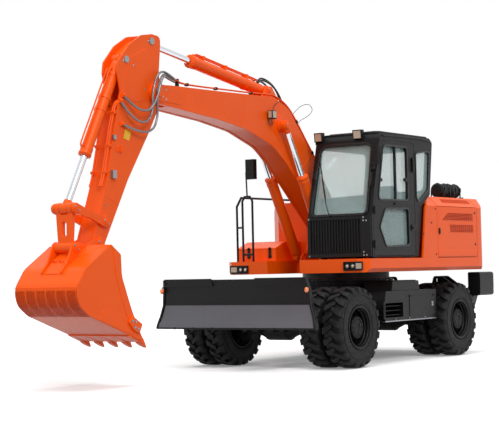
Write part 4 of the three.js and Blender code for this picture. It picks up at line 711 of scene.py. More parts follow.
def ram(name, base, eye, length, radius, rod_radius, bodies, colour, replaces, eye_size, axis=Y,
        offsets=(0,), bands=()):
    """Barrel and chrome rod of a cylinder between two pins, round and with a bolted gland."""
    base, eye = Vector(base), Vector(eye)
    along = (eye - base).normalized()
    reach = (eye - base).length
    across = Vector(axis)
    up = along.cross(across).normalized()
    barrel, rod, ends, bolts = builds(4)
    eye_radius, eye_width, rod_width = eye_size
    for offset in offsets:
        start = base + across * offset
        tip = eye + across * offset
        inner = rod_radius + 1.5
        profile = rounded([
            (0, 10), (radius * 0.8, 10), (radius * 0.86, eye_radius * 0.8, 6), (radius, eye_radius + 14, 12),
            (radius, length - 116, 2), (radius + 5, length - 112, 2), (radius + 5, length - 70, 2),
            (radius + 1, length - 66, 2), (radius + 1, length - 44, 2), (radius + 9, length - 40, 3),
            (radius + 9, length - 14, 4), (radius - 4, length - 12, 3), (radius - 8, length, 3),
            (inner, length)], 0.5)
        barrel.lathe(profile + [(inner, eye_radius + 40), (0, eye_radius + 40)], start, along, 48)
        barrel.lathe(rounded(drum(eye_radius, eye_width / 2, 5), 0.5), start, across, 40)
        for a in turns(8, 0.5):
            spot = up * math.cos(a) + across * math.sin(a)
            bolts.bolt(start + along * (length - 14) + spot * (radius - 2), along, 8, 9)
        for place in bands:
            ring = rounded([(radius - 1, place), (radius + 7, place, 2), (radius + 7, place + 34, 2),
                            (radius - 1, place + 34)])
            barrel.lathe(ring, start, along, 48, closed=True)
            lug = start + along * (place + 17) + up * (radius + 12)
            barrel.tube([lug - along * 15, lug + along * 15], 14, 10)
        rod.lathe([(0, length - 330), (rod_radius, length - 330), (rod_radius, reach - eye_radius - 36),
                   (rod_radius - 4, reach - eye_radius - 30), (rod_radius - 4, reach - eye_radius),
                   (0, reach - eye_radius)],
                  start, along, 40)
        ends.lathe(rounded(drum(eye_radius - 3, rod_width / 2, 5), 0.5), tip, across, 40)
        neck = [(0, reach - eye_radius - 34), (rod_radius + 9, reach - eye_radius - 34),
                (rod_radius + 14, reach - eye_radius), (rod_radius + 16, reach - 20), (0, reach - 20)]
        ends.lathe(rounded([(*neck[0],), (*neck[1], 4), (*neck[2], 6), neck[3], neck[4]], 0.5), start, along,
                   32)
    piece(name + "_barrel_turned", barrel, colour, bodies[0], replaces[0], 38)
    piece(name + "_gland_bolts", bolts, colour, bodies[0])
    piece(name + "_rod_chrome", rod, CHROME, bodies[1], replaces[1], 38)
    piece(name + "_rod_eye", ends, colour, bodies[1])


def at_boom(point, y=BOOM_Y):
    return (point[0], y, point[1])


BOOM_FOOT, ARM_PIVOT, BUCKET_PIVOT = (130, 1730), (4229, 3438), (5310, 1630)
LIFT_BASE, LIFT_EYE = (625, 1460), (1640, 3215)
CROWD_BASE, CROWD_EYE = (1770, 3690), (4279, 4067)
CURL_BASE, CURL_EYE = (4757, 3800), (5715, 2028)
IDLER_PIVOT, LINK_PIN = (5215, 1880), (5725, 1590)
LIFT_Y = 260

ram("lift_cylinder", at_boom(LIFT_BASE), at_boom(LIFT_EYE), 1270, 75, 40, ("boom_barrels", "boom_rods"),
    ORANGE, (["boom_cylinder_barrels"], ["left_boom_cylinder_rod", "right_boom_cylinder_rod"]),
    (72, 76, 76), offsets=(-LIFT_Y, LIFT_Y))
ram("crowd_cylinder", at_boom(CROWD_BASE), at_boom(CROWD_EYE), 1640, 78, 42, ("arm_barrel", "arm_rod"),
    ORANGE, (["arm_cylinder_barrel"], ["arm_cylinder_rod"]), (75, 140, 140), bands=(420,))
ram("curl_cylinder", at_boom(CURL_BASE), at_boom(CURL_EYE), 1325, 68, 38, ("bucket_barrel", "bucket_rod"),
    ORANGE, (["bucket_cylinder_barrel"], ["bucket_cylinder_rod"]), (66, 104, 104), bands=(210, 520, 690))
ram("blade_cylinder", (1990, 0, 905), (2401, 0, 723), 300, 48, 28, ("blade_barrel", "blade_rod"), BLACK,
    (["blade_cylinder_barrel"], ["blade_cylinder_rod"]), (50, 100, 100))
for name, side in (("left", 1), ("right", -1)):
    ram(name + "_leg_cylinder", (-2030, side * 450, 1080), (-2030, side * 840, 620), 440, 52, 30,
        (name + "_leg_barrel", name + "_leg_rod"), BLACK,
        ([name + "_stabiliser_barrel"], [name + "_stabiliser_rod"]), (48, 76, 76), axis=X)


# ------------------------------------------------------------------ boom

BOOM_HALF, ARM_HALF = 170, 125
KEEPER_TURN = 0.6
GUARD = surface("hose_guard", srgb(118, 120, 124), (0.18, 0.32), 0.12, metallic=0.65, coat=0.3, grain=0.3,
                grain_scale=70)


def pin_end(build, bolts, at, side, radius, height):
    """Round boss with a keeper plate and two bolts, on the outer face of a plate."""
    out = Y * side
    build.disc(at, out, radius, height, 4, 36)
    build.disc(Vector(at) + out * height, out, radius * 0.52, 9, 3, 28)
    along = Vector((math.cos(KEEPER_TURN), 0, math.sin(KEEPER_TURN)))
    for k in (-1, 1):
        bolts.bolt(Vector(at) + out * height + along * (k * radius * 0.74), out, 9, 9)


def weld(build, points, radius=5):
    build.tube(points, radius, 6)


def boom():
    top = [(4118, 3550), (3960, 3557), (2974, 3572), (1755, 3600, 260), (1395, 3462, 300), (825, 2851),
           (400, 2344)]
    bottom = [(1215, 2490, 500), (1514, 2740, 400), (1800, 2935, 600), (2384, 3118, 800), (3010, 3209),
              (3721, 3271)]
    side = rounded([*arc(BOOM_FOOT, 130, 150, 310), *bottom, *arc(ARM_PIVOT, 128, -95, 80), *top], 0.07)
    core = rounded([*arc(BOOM_FOOT, 130, 150, 310), *bottom, (3999, 3293), (3990, 3400), (3925, 3490, 60),
                    (3794, 3560), *top[2:]], 0.07)
    fork = 39
    made, bolts = builds(2)
    for s in (-1, 1):
        made.prism(side, BOOM_Y + s * BOOM_HALF, BOOM_Y + s * (BOOM_HALF - fork), PLATE, 4)
    made.prism(shrunk(core, 8), BOOM_Y - BOOM_HALF + fork, BOOM_Y + BOOM_HALF - fork)
    made.lathe(rounded(drum(138, BOOM_HALF + 4, 5)), at_boom(BOOM_FOOT), Y, 56)
    for s in (-1, 1):
        out = Y * s
        face = BOOM_Y + s * BOOM_HALF
        pin_end(made, bolts, at_boom(ARM_PIVOT, face - s), s, 92, 27)
        made.disc(at_boom(BOOM_FOOT, face), out, 46, 56, 4, 32)
        made.disc(at_boom(LIFT_EYE, face - s * 8), out, 78, 50, 6, 40)
        made.disc(at_boom(LIFT_EYE, face), out, 60, 50, 3, 40)
        made.disc(at_boom(LIFT_EYE, BOOM_Y + s * (LIFT_Y + 40)), out, 52, 16, 5, 32)
        bolts.bolt((LIFT_EYE[0] + 22, BOOM_Y + s * (LIFT_Y + 56), LIFT_EYE[1] + 16), out, 9, 9)
        # doubler plate round the cylinder's boss and the tip
        made.prism(rounded([(1500, 3080, 60), (1660, 3010, 60), (1800, 3180, 60), (1760, 3340, 60),
                            (1600, 3380, 60), (1480, 3230, 60)]), face - s * 2, face + s * 7)
        made.prism(rounded([(3770, 3330, 30), (4090, 3345), *arc(ARM_PIVOT, 118, -105, 75), (4100, 3530),
                            (3800, 3520, 30)]), face - s * 2, face + s * 6)
        for x, z in ((4085, 3490), (4085, 3375)):
            bolts.bolt((x, face + s * 6, z), out, 11, 10)
        # welded seams across the plates
        weld(made, [(3708, face, 3276), (3700, face, 3556)], 4)
        weld(made, [(2470, face, 3130), (2435, face, 3572)], 4)
        weld(made, [(883, face, 2905), (905, face, 2835), (1100, face, 2680), (1240, face, 2520)], 5)
    # brackets and pin of the arm cylinder
    ex, ez = CROWD_BASE
    ear = rounded([(ex - 210, 3575), (ex - 60, ez + 58, 40), (ex + 60, ez + 58, 40), (ex + 200, 3575),
                   (ex + 100, 3500), (ex - 150, 3480)])
    for s in (-1, 1):
        made.prism(ear, BOOM_Y + s * 84, BOOM_Y + s * 109, PLATE, 4)
        pin_end(made, bolts, at_boom(CROWD_BASE, BOOM_Y + s * 108), s, 56, 14)
    piece("boom_box", made, ORANGE, "main_boom", ["boom"], 38)
    piece("boom_bolts", bolts, STEEL, "main_boom")


def boom_pipes():
    pipes, clamps, lamp, lens, wire = builds(5)
    run = [(560, 2610), (760, 2830), (1010, 3095), (1240, 3340), (1430, 3500), (1640, 3590), (1830, 3622),
           (2200, 3612), (2974, 3600), (3500, 3594), (3760, 3604), (3900, 3640)]
    for y in (11, -11, -289, -311):
        pipes.tube(spline([(x, y, z + 4) for x, z in run]), 9, 12)
        pipes.lathe(rounded(drum(12, 24, 3), 0.6), (3880, y, 3636),
                    Vector((1, 0, 0.27)), 6)
    for x, z in ((3640, 3598), (3040, 3602), (2270, 3612), (1200, 3308), (820, 2902)):
        slope = math.atan2(267, 230) if x < 1500 else -0.01
        for centre in (0, -300):
            clamps.box((-20, 20), (-20, 20), (-24, 14), 4, tipped((x, centre, z + 4), -slope))
    for s in (-1, 1):
        clamps.box((3815, 3850), (BOOM_Y + s * 132, BOOM_Y + s * 168), (3545, 3652), 4)
    # work lamp on the left plate with its loop of wire
    face = BOOM_Y + BOOM_HALF
    lamp.box((1838, 1944), (face + 26, face + 96), (3292, 3404), 12)
    lamp.box((1870, 1912), (face, face + 30), (3322, 3370), 4)
    lens.box((1942, 1949), (face + 36, face + 86), (3304, 3392), 3)
    lens.box((1850, 1932), (face + 94, face + 100), (3304, 3392), 3)
    wire.tube(spline([(1880, face + 20, 3300), (1850, face + 30, 3235), (1900, face + 34, 3205),
                      (1930, face + 20, 3250), (1890, face + 8, 3310)]), 5, 8)
    wire.tube(spline([(1850, face + 40, 3400), (1790, face + 24, 3470), (1700, face + 6, 3520),
                      (1600, face - 8, 3560)]),
              5, 8)
    wire.tube(spline([(1290, 0, 3400), (1130, 30, 3520), (960, 50, 3560), (850, 40, 3500), (900, 20, 3420),
                      (1100, 5, 3330), (1170, 0, 3270)]), 4, 8)
    piece("boom_pipes", pipes, ORANGE, "main_boom")
    piece("boom_pipe_clamps", clamps, BLACK, "main_boom")
    piece("boom_lamp", lamp, PLASTIC, "main_boom")
    piece("boom_lamp_glass", lens, TAN, "main_boom")
    piece("boom_wires", wire, HOSE, "main_boom")


def hose(name, route, radius, finish):
    """A flexible hose from a fitting on one body to a fitting on the next."""
    line = spline(route, 8)
    made = piece(name, Build().tube(line, radius, 12), finish, None)
    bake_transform(made)


def tip_hoses():
    """Hoses that loop from the pipes on the boom's tip to both side plates of the arm."""
    routes = {
        "tip_hose_long": [
            (3896, 11, 3642), (4010, 18, 3684), (4150, 42, 3704), (4262, 58, 3660), (4345, 64, 3540),
            (4388, 66, 3380), (4396, 66, 3230), (4470, 64, 3104), (4610, 56, 3066), (4750, 36, 3130),
            (4850, 6, 3236), (4880, -18, 3300)],
        "tip_hose_low": [
            (3896, -11, 3642), (4000, 0, 3664), (4120, 30, 3676), (4216, 54, 3610), (4282, 62, 3480),
            (4300, 64, 3320), (4310, 64, 3150), (4380, 62, 3010), (4520, 56, 2952), (4690, 36, 2968),
            (4820, 6, 3010), (4870, -18, 3030)],
        "tip_hose_short": [
            (3896, 11, 3606), (4030, 34, 3626), (4170, 70, 3640), (4260, 92, 3560), (4316, 96, 3430),
            (4390, 92, 3300), (4480, 84, 3218), (4600, 66, 3206), (4720, 34, 3262), (4800, 4, 3330),
            (4830, -18, 3370)],
    }
    for lift, name in ((0, "tip_hose_right_low"), (14, "tip_hose_right_high")):
        side = 2 * lift
        routes[name] = [
            (3896, -311 + side, 3642 + lift), (4050, -336 + side, 3700 + lift),
            (4230, -356 + side, 3600 + lift), (4340, -362 + side, 3420 + lift),
            (4420, -356 + side, 3230 + lift), (4560, -340 + side, 3130 + lift),
            (4720, -312 + side, 3160 + lift), (4830, -284 + side, 3260 + lift)]
    for name, route in routes.items():
        hose(name, route, 14, GUARD if "right" not in name else HOSE)
    ends = Build()
    for x, z in ((4880, 3300), (4870, 3030), (4830, 3370)):
        ends.box((x - 20, x + 26), (BOOM_Y + ARM_HALF - 2, BOOM_Y + ARM_HALF + 20), (z - 26, z + 26), 4)
        ends.lathe([(0, 0), (19, 0), (19, 26), (15, 30), (0, 30)], (x, BOOM_Y + ARM_HALF + 8, z), Y, 6)
    piece("hose_elbows", ends, ORANGE, "dipper_arm")


def cylinder_pipes(build, base, eye, apart, radius, stations):
    """Two pipes along a cylinder, through stations (distance from its base, height over its axis)."""
    along = Vector((eye[0] - base[0], 0, eye[1] - base[1])).normalized()
    up = Vector((-along.z, 0, along.x))
    base = Vector(at_boom(base))
    for y in (-apart, apart):
        build.tube(bent([base + along * t + up * r + Y * y for t, r in stations], 30), radius, 10)
    return base, along


def crowd_hoses():
    """Hoses from the boom's back to the ports of the arm cylinder, and the two pipes along it."""
    pipes = Build()
    for k, (y, lift) in enumerate(((-96, 0), (-204, 18), (-120, 30))):
        route = [(1300, y, 3368), (1370, y, 3530), (1500, y, 3690 + lift), (1660, y, 3790 + lift),
                 (1850, y, 3824 + lift), (1960, y, 3786)]
        hose("crowd_hose_%d" % (k + 1), route, 13, HOSE)
    base, along = cylinder_pipes(pipes, CROWD_BASE, CROWD_EYE, 24, 11, (
        (180, 84), (200, 108), (260, 112), (1480, 112), (1540, 108), (1560, 84)))
    for t in (430, 900, 1380):
        pipes.box((-18, 18), (-44, 44), (74, 126), 4, tipped(base + along * t, -math.atan2(along.z, along.x)))
    piece("crowd_cylinder_pipes", pipes, ORANGE, "arm_barrel")


# ------------------------------------------------------------------ arm, linkage and bucket


def arm():
    px = ARM_PIVOT[0]
    dx, dz = CROWD_EYE
    head = [(4920, 3640, 30), (4900, 3770, 80), (4700, 3985, 200), (4470, 4120, 150), (dx - 10, 4155, 60),
            (dx - 165, 4140, 60), (4112, 4040), (4150, 3700), (px - 100, 3500)]
    lower = [(4137, 3320), (4356, 2967), (4768, 2378), (5190, 1650), *arc(BUCKET_PIVOT, 100, 215, 370),
             (5385, 1720), (5150, 2330)]
    side = rounded([*lower, (4905, 3300), (4870, 3420), *head], 0.07)
    core = rounded([*lower, (4930, 3200), (4700, 3200, 40), (4700, 3300), (4620, 3560, 60), (4380, 3700, 60),
                    (4150, 3700), (px - 100, 3500)], 0.07)
    made, bolts, steel = builds(3)
    wall = 25
    for s in (-1, 1):
        out = Y * s
        face = BOOM_Y + s * ARM_HALF
        made.prism(side, face, face - s * wall, PLATE, 4)
        # thicker plate round the head, with a narrow step
        made.prism(rounded([(4400, 3965, 60), (4275, 3840, 60), (4292, 3560, 40), (4410, 3345, 90),
                            (4640, 3300, 60), (4850, 3390, 50), (4800, 3600, 60),
                            (4700, 3830, 90)]), face - s * 2, face + s * 5)
        made.disc(at_boom(ARM_PIVOT, face - s * 2), out, 118, 5, 2, 44)
        steel.disc(at_boom(CROWD_EYE, face), out, 44, 13, 4, 32)
        steel.disc(at_boom(CURL_BASE, face), out, 42, 12, 4, 32)
        bolts.bolt((dx + 62, face, dz - 8), out, 11, 10)
        bolts.bolt((CURL_BASE[0] + 56, face, CURL_BASE[1] - 22), out, 11, 10)
        made.disc(at_boom(BUCKET_PIVOT, face - s * 3), out, 92, 6, 3, 40)
        made.disc(at_boom(IDLER_PIVOT, face - s * 3), out, 78, 7, 3, 40)
        for x, z in ((4640, 3740), (4430, 3480), (5165, 2075)):
            bolts.bolt((x, face + s * 4, z), out, 8, 7)
        weld(made, [(4990, face, 2110), (5180, face, 2190)], 4)
    made.prism(shrunk(core, 7), BOOM_Y - ARM_HALF + wall, BOOM_Y + ARM_HALF - wall)
    made.lathe(rounded(drum(112, 124, 4)), at_boom(ARM_PIVOT), Y, 48)
    # curved cover over the head, between the plates
    cover = [(4838, 3700, 60), (4690, 3900, 120), (4500, 4040, 100), (4400, 4080), (4392, 4062),
             (4490, 4022, 90), (4674, 3886, 110), (4820, 3690)]
    made.prism(rounded(cover), BOOM_Y - ARM_HALF + wall + 1, BOOM_Y + ARM_HALF - wall - 1, PLATE, 2)
    face = BOOM_Y + ARM_HALF
    steel.box((5015, 5082), (face, face + 44), (2386, 2480), 5)
    steel.box((4996, 5040), (face, face + 30), (2840, 2892), 4)
    made.box((4895, 4975), (face, face + 8), (2700, 2770), 3)
    made.box((4895, 4912), (face, face + 34), (2700, 2770), 3)
    piece("arm_box", made, ORANGE, "dipper_arm", ["arm"], 38)
    piece("arm_bolts", bolts, STEEL, "dipper_arm")
    piece("arm_pin_ends", steel, STEEL, "dipper_arm")
    sign = Build().prism(rounded([(4735, 2840, 6), (4838, 2868, 6), (4800, 2975, 6), (4697, 2947, 6)]), face,
                         face + 1.6, PLATE, 0.5)
    piece("blank_yellow_plate", sign, YELLOW, "dipper_arm")


def arm_pipes():
    pipes, clamps = builds(2)
    front = [(4790, 3330), (4905, 3268), (4990, 3050), (5080, 2690), (5150, 2420), (5200, 2290)]
    for y in (-46, -76, -224):
        pipes.tube(spline([(x + 22, y, z) for x, z in front]), 11, 10)
    for x, z, turn in ((4962, 3160, 14.5), (5062, 2770, 14.5), (5140, 2460, 15)):
        for centre, half in ((-61, 36), (-224, 22)):
            clamps.box((-16, 32), (-half, half), (-18, 18), 4, tipped((x + 8, centre, z), math.radians(turn)))
    piece("arm_pipes", pipes, ORANGE, "dipper_arm")
    piece("arm_pipe_clamps", clamps, ORANGE, "dipper_arm")
    # pipes along the bucket cylinder
    lines = Build()
    cylinder_pipes(lines, CURL_BASE, CURL_EYE, 22, 10, (
        (160, 72), (190, 98), (250, 100), (1160, 100), (1210, 98), (1240, 72)))
    piece("curl_cylinder_pipes", lines, ORANGE, "bucket_barrel")


def linkage():
    made, bolts = builds(2)
    middle = [(IDLER_PIVOT[i] + CURL_EYE[i]) / 2 for i in (0, 1)]
    inner = ARM_HALF + 6
    lever = rounded([*arc(IDLER_PIVOT, 62, 106, 286), (middle[0] + 11, middle[1] - 38, 200),
                     *arc(CURL_EYE, 62, -74, 106), (middle[0] - 11, middle[1] + 38, 200)])
    for s in (-1, 1):
        face = BOOM_Y + s * (inner + 34)
        made.prism(lever, BOOM_Y + s * inner, face, PLATE, 6)
        pin_end(made, bolts, at_boom(IDLER_PIVOT, face - s), s, 50, 9)
        pin_end(made, bolts, at_boom(CURL_EYE, face - s), s, 54, 12)
    made.lathe([(0, -inner), (40, -inner), (40, inner), (0, inner)], at_boom(IDLER_PIVOT), Y, 32)
    made.lathe([(0, -inner), (38, -inner), (38, inner), (0, inner)], at_boom(CURL_EYE), Y, 32)
    piece("idler_levers", made, ORANGE, "idler", ["idler_link"], 38)
    piece("idler_bolts", bolts, STEEL, "idler")
    yoke = Build()
    low, high = LINK_PIN[1], CURL_EYE[1]
    outer = rounded([(BOOM_Y - 92, low - 8, 20), (BOOM_Y + 92, low - 8, 20), (BOOM_Y + 104, low + 150, 80),
                     (BOOM_Y + 123, high - 30, 30), (BOOM_Y + 123, high + 10, 8), (BOOM_Y + 59, high + 10, 8),
                     (BOOM_Y + 59, high - 66, 24), (BOOM_Y - 59, high - 66, 24), (BOOM_Y - 59, high + 10, 8),
                     (BOOM_Y - 123, high + 10, 8), (BOOM_Y - 123, high - 30, 30),
                     (BOOM_Y - 104, low + 150, 80)])
    window = rounded(rect((BOOM_Y - 34, BOOM_Y + 34), (low + 120, high - 150), 33))
    yoke.prism([outer, window], CURL_EYE[0] - 30, CURL_EYE[0] + 34, SECTION, 9)
    for s in (-1, 1):
        a, b = sorted((s * 59, s * 123))
        yoke.lathe(rounded([(41, a), (66, a, 8), (66, b, 8), (41, b)]), at_boom(CURL_EYE), Y, 40, closed=True)
    yoke.lathe(rounded(drum(58, 121, 8)), at_boom(LINK_PIN), Y, 40)
    piece("slotted_bucket_link", yoke, ORANGE, "link", ["bucket_link"], 38)


def loft(build, rings):
    """Closed shell through rings of as many points each."""
    count = len(rings[0])
    verts = [p for ring in rings for p in ring]
    faces = [list(range(count)), list(range(len(verts) - count, len(verts)))]
    for r in range(len(rings) - 1):
        for k in range(count):
            a, b = r * count + k, r * count + (k + 1) % count
            faces.append([a, b, b + count, a + count])
    return build.add(verts, faces)


def bucket():
    half = 466
    bend = [(5914, 1351, 260), (6085, 1120, 195), (6030, 945, 200), (5872, 830, 260)]
    outer = rounded([(5490, 1612), *bend, (5010, 520), (4985, 560), (5150, 861, 300), (5320, 1254, 300),
                     (5330, 1500, 40)],
                    0.07)
    inner_line = rounded([(4900, 560), (4985, 542), (5860, 857, 240), (6010, 965, 180), (6060, 1115, 175),
                          (5900, 1334, 240), (5482, 1596), (5400, 1700)], 0.07)[1:-1]
    outer_line = rounded([(5400, 1700), (5490, 1612), *bend, (5010, 520), (4900, 560)], 0.07)[1:-1]
    shell, strips, bolts, teeth = builds(4)
    shell.prism(outer_line + inner_line, BOOM_Y - half + 3, BOOM_Y + half - 3)
    rim = rounded([(5330, 1500, 30), (5320, 1254, 300), (5150, 861, 300), (4985, 560), (5010, 520),
                   (5150, 570), (5268, 861, 300), (5418, 1254, 300), (5450, 1500), (5490, 1612)], 0.1)
    for s in (-1, 1):
        face = BOOM_Y + s * half
        shell.prism(outer, face, face - s * 20, PLATE, 4)
        shell.prism(rim, face - s * 2, face + s * 7)
        # side cutter with four bolts
        cutter = rounded([(4998, 706, 12), (5052, 600, 10), (5150, 640), (5232, 735, 14), (5166, 806, 10)])
        shell.prism(cutter, face + s * 6, face + s * 30, PLATE, 5)
        for x, z in ((5078, 655), (5134, 676), (5120, 736), (5176, 752)):
            bolts.bolt((x, face + s * 30, z), Y * s, 13, 12)
        # lower side wear plate
        shell.prism(rounded([(5150, 590), (5700, 780), (5650, 900, 60), (5230, 800, 60)]),
                    face - s * 2, face + s * 5, PLATE, 2)
    # wear strips round the heel and along the bottom, with narrow gaps
    low = [p for p in outer_line if p[1] < 1128 and p[0] > 5040]
    heel = [p for p in low if p[0] > 5300] + [(5090, 549)]
    out_loop = shrunk(heel + [(5000, 900)], -11)[:-1]
    strip_width, gap = 140, 11
    first = -half + 14
    while first + strip_width <= half - 10:
        loop = out_loop + heel[::-1]
        strips.prism(loop, BOOM_Y + first, BOOM_Y + first + strip_width, PLATE, 2)
        first += strip_width + gap
    # folded lines of the wrapper plate
    for x, z in ((6078, 1150), (5914, 1338)):
        weld(shell, [(x - 4, BOOM_Y - half + 8, z), (x - 4, BOOM_Y + half - 8, z)], 4)
    # lip plate
    lip = rounded([(4968, 520), (4990, 500), (5200, 575), (5200, 612), (4990, 560)])
    shell.prism(lip, BOOM_Y - half + 2, BOOM_Y + half - 2)
    # ears with their bosses
    lx, lz = LINK_PIN
    inner = ARM_HALF + 6
    ear = rounded([*arc(BUCKET_PIVOT, 77, 95, 250), (5440, 1520), (5560, 1530), (5870, 1352), (5960, 1290),
                   (5990, 1262, 20), (5975, 1330, 60), (5880, 1420, 90), *arc(LINK_PIN, 66, 10, 90),
                   (lx - 150, lz + 30, 120)])
    for s in (-1, 1):
        face = BOOM_Y + s * (inner + 25)
        shell.prism(ear, BOOM_Y + s * inner, face, PLATE, 5)
        pin_end(shell, bolts, at_boom(BUCKET_PIVOT, face - s), s, 62, 13)
        pin_end(shell, bolts, at_boom(LINK_PIN, face - s), s, 58, 13)
        for point in (BUCKET_PIVOT, LINK_PIN):
            shell.lathe(rounded([(41, 0), (58, 0, 4), (58, 12, 4), (41, 12)]),
                        at_boom(point, BOOM_Y + s * (ARM_HALF - 5)), Y * s, 32, closed=True)
        # stiffener from the ear out to the side plate
        loft(shell, [[Vector((x, BOOM_Y + s * y, z)) for x, z in loop] for y, loop in (
            (156, [(5470, 1620), (5560, 1606), (5700, 1490), (5640, 1480), (5500, 1590)]),
            (448, [(5484, 1612), (5510, 1594), (5560, 1556), (5550, 1548), (5500, 1590)]))])
    # doubler and two lifting eyes between the ears
    normal = Vector((0.72, 0, 0.69))
    spot = Vector((5836, BOOM_Y, 1424))
    shell.prism(rounded([(5700, 1512), (5856, 1392, 60), (5950, 1290), (5962, 1300), (5872, 1406, 60),
                         (5716, 1526)]),
                BOOM_Y - 100, BOOM_Y + 100, PLATE, 4)
    for y in (-46, 46):
        ring = []
        for k in range(11):
            a = math.pi * k / 10
            ring.append(spot + Y * (y + 26 * math.cos(a)) + normal * (10 + 26 * abs(math.sin(a))))
        shell.tube(ring, 8, 8)
    for i in range(5):
        y = BOOM_Y + (i - 2) * ((half - 45) / 2)
        holder = rounded([(5150, 618), (5165, 560, 10), (5010, 500), (4960, 478, 8), (4930, 520, 12),
                          (4985, 580)])
        teeth.prism(holder, y - 40, y + 40, PLATE, 6)
        loft(teeth, [[Vector((x, y + w, z)) for x, w, z in ring] for ring in (
            [(4990, -35, 575), (4990, 35, 575), (5005, 35, 492), (5005, -35, 492)],
            [(4940, -33, 534), (4940, 33, 534), (4962, 33, 466), (4962, -33, 466)],
            [(4900, -26, 482), (4900, 26, 482), (4918, 26, 446), (4918, -26, 446)],
            [(4869, -17, 437), (4869, 17, 437), (4876, 17, 429), (4876, -17, 429)])])
    piece("bucket_shell", shell, ORANGE, "digging_bucket", ["bucket"], 38)
    piece("bucket_wear_strips", strips, ORANGE, "digging_bucket")
    piece("bucket_teeth", teeth, ORANGE, "digging_bucket", bevel=3, sharp=32)
    piece("bucket_bolts", bolts, STEEL, "digging_bucket")


boom()
boom_pipes()
tip_hoses()
crowd_hoses()
arm()
arm_pipes()
linkage()
bucket()


# ------------------------------------------------------------------ cab

SCREEN_FOOT = Vector((1268, 0, 1985))
SCREEN_UP = Vector((-258, 0, 1035)).normalized()
SCREEN_OUT = Y.cross(SCREEN_UP)
CAB_FACE, HOUSE_FACE, TAIL_FACE, SIDE_BOX_FACE = 1200, 1240, -2140, 1150


def screen_point(across, up, out):
    return SCREEN_FOOT + Y * across + SCREEN_UP * up + SCREEN_OUT * out


def on_screen(loops, lo, hi, bevel):
    """A plate that follows the sloping windscreen: across, up the slope, and outwards."""
    turned = Matrix((Y, SCREEN_UP, SCREEN_OUT)).transposed().to_4x4()
    return Build().join(Build().prism(loops, lo, hi, SLAB, bevel), Matrix.Translation(SCREEN_FOOT) @ turned)


def ring_round(corners, outwards, inwards):
    loop = rounded(corners)
    if area(loop) < 0:
        loop = loop[::-1]
    return [shrunk(loop, -outwards), shrunk(loop, inwards)]


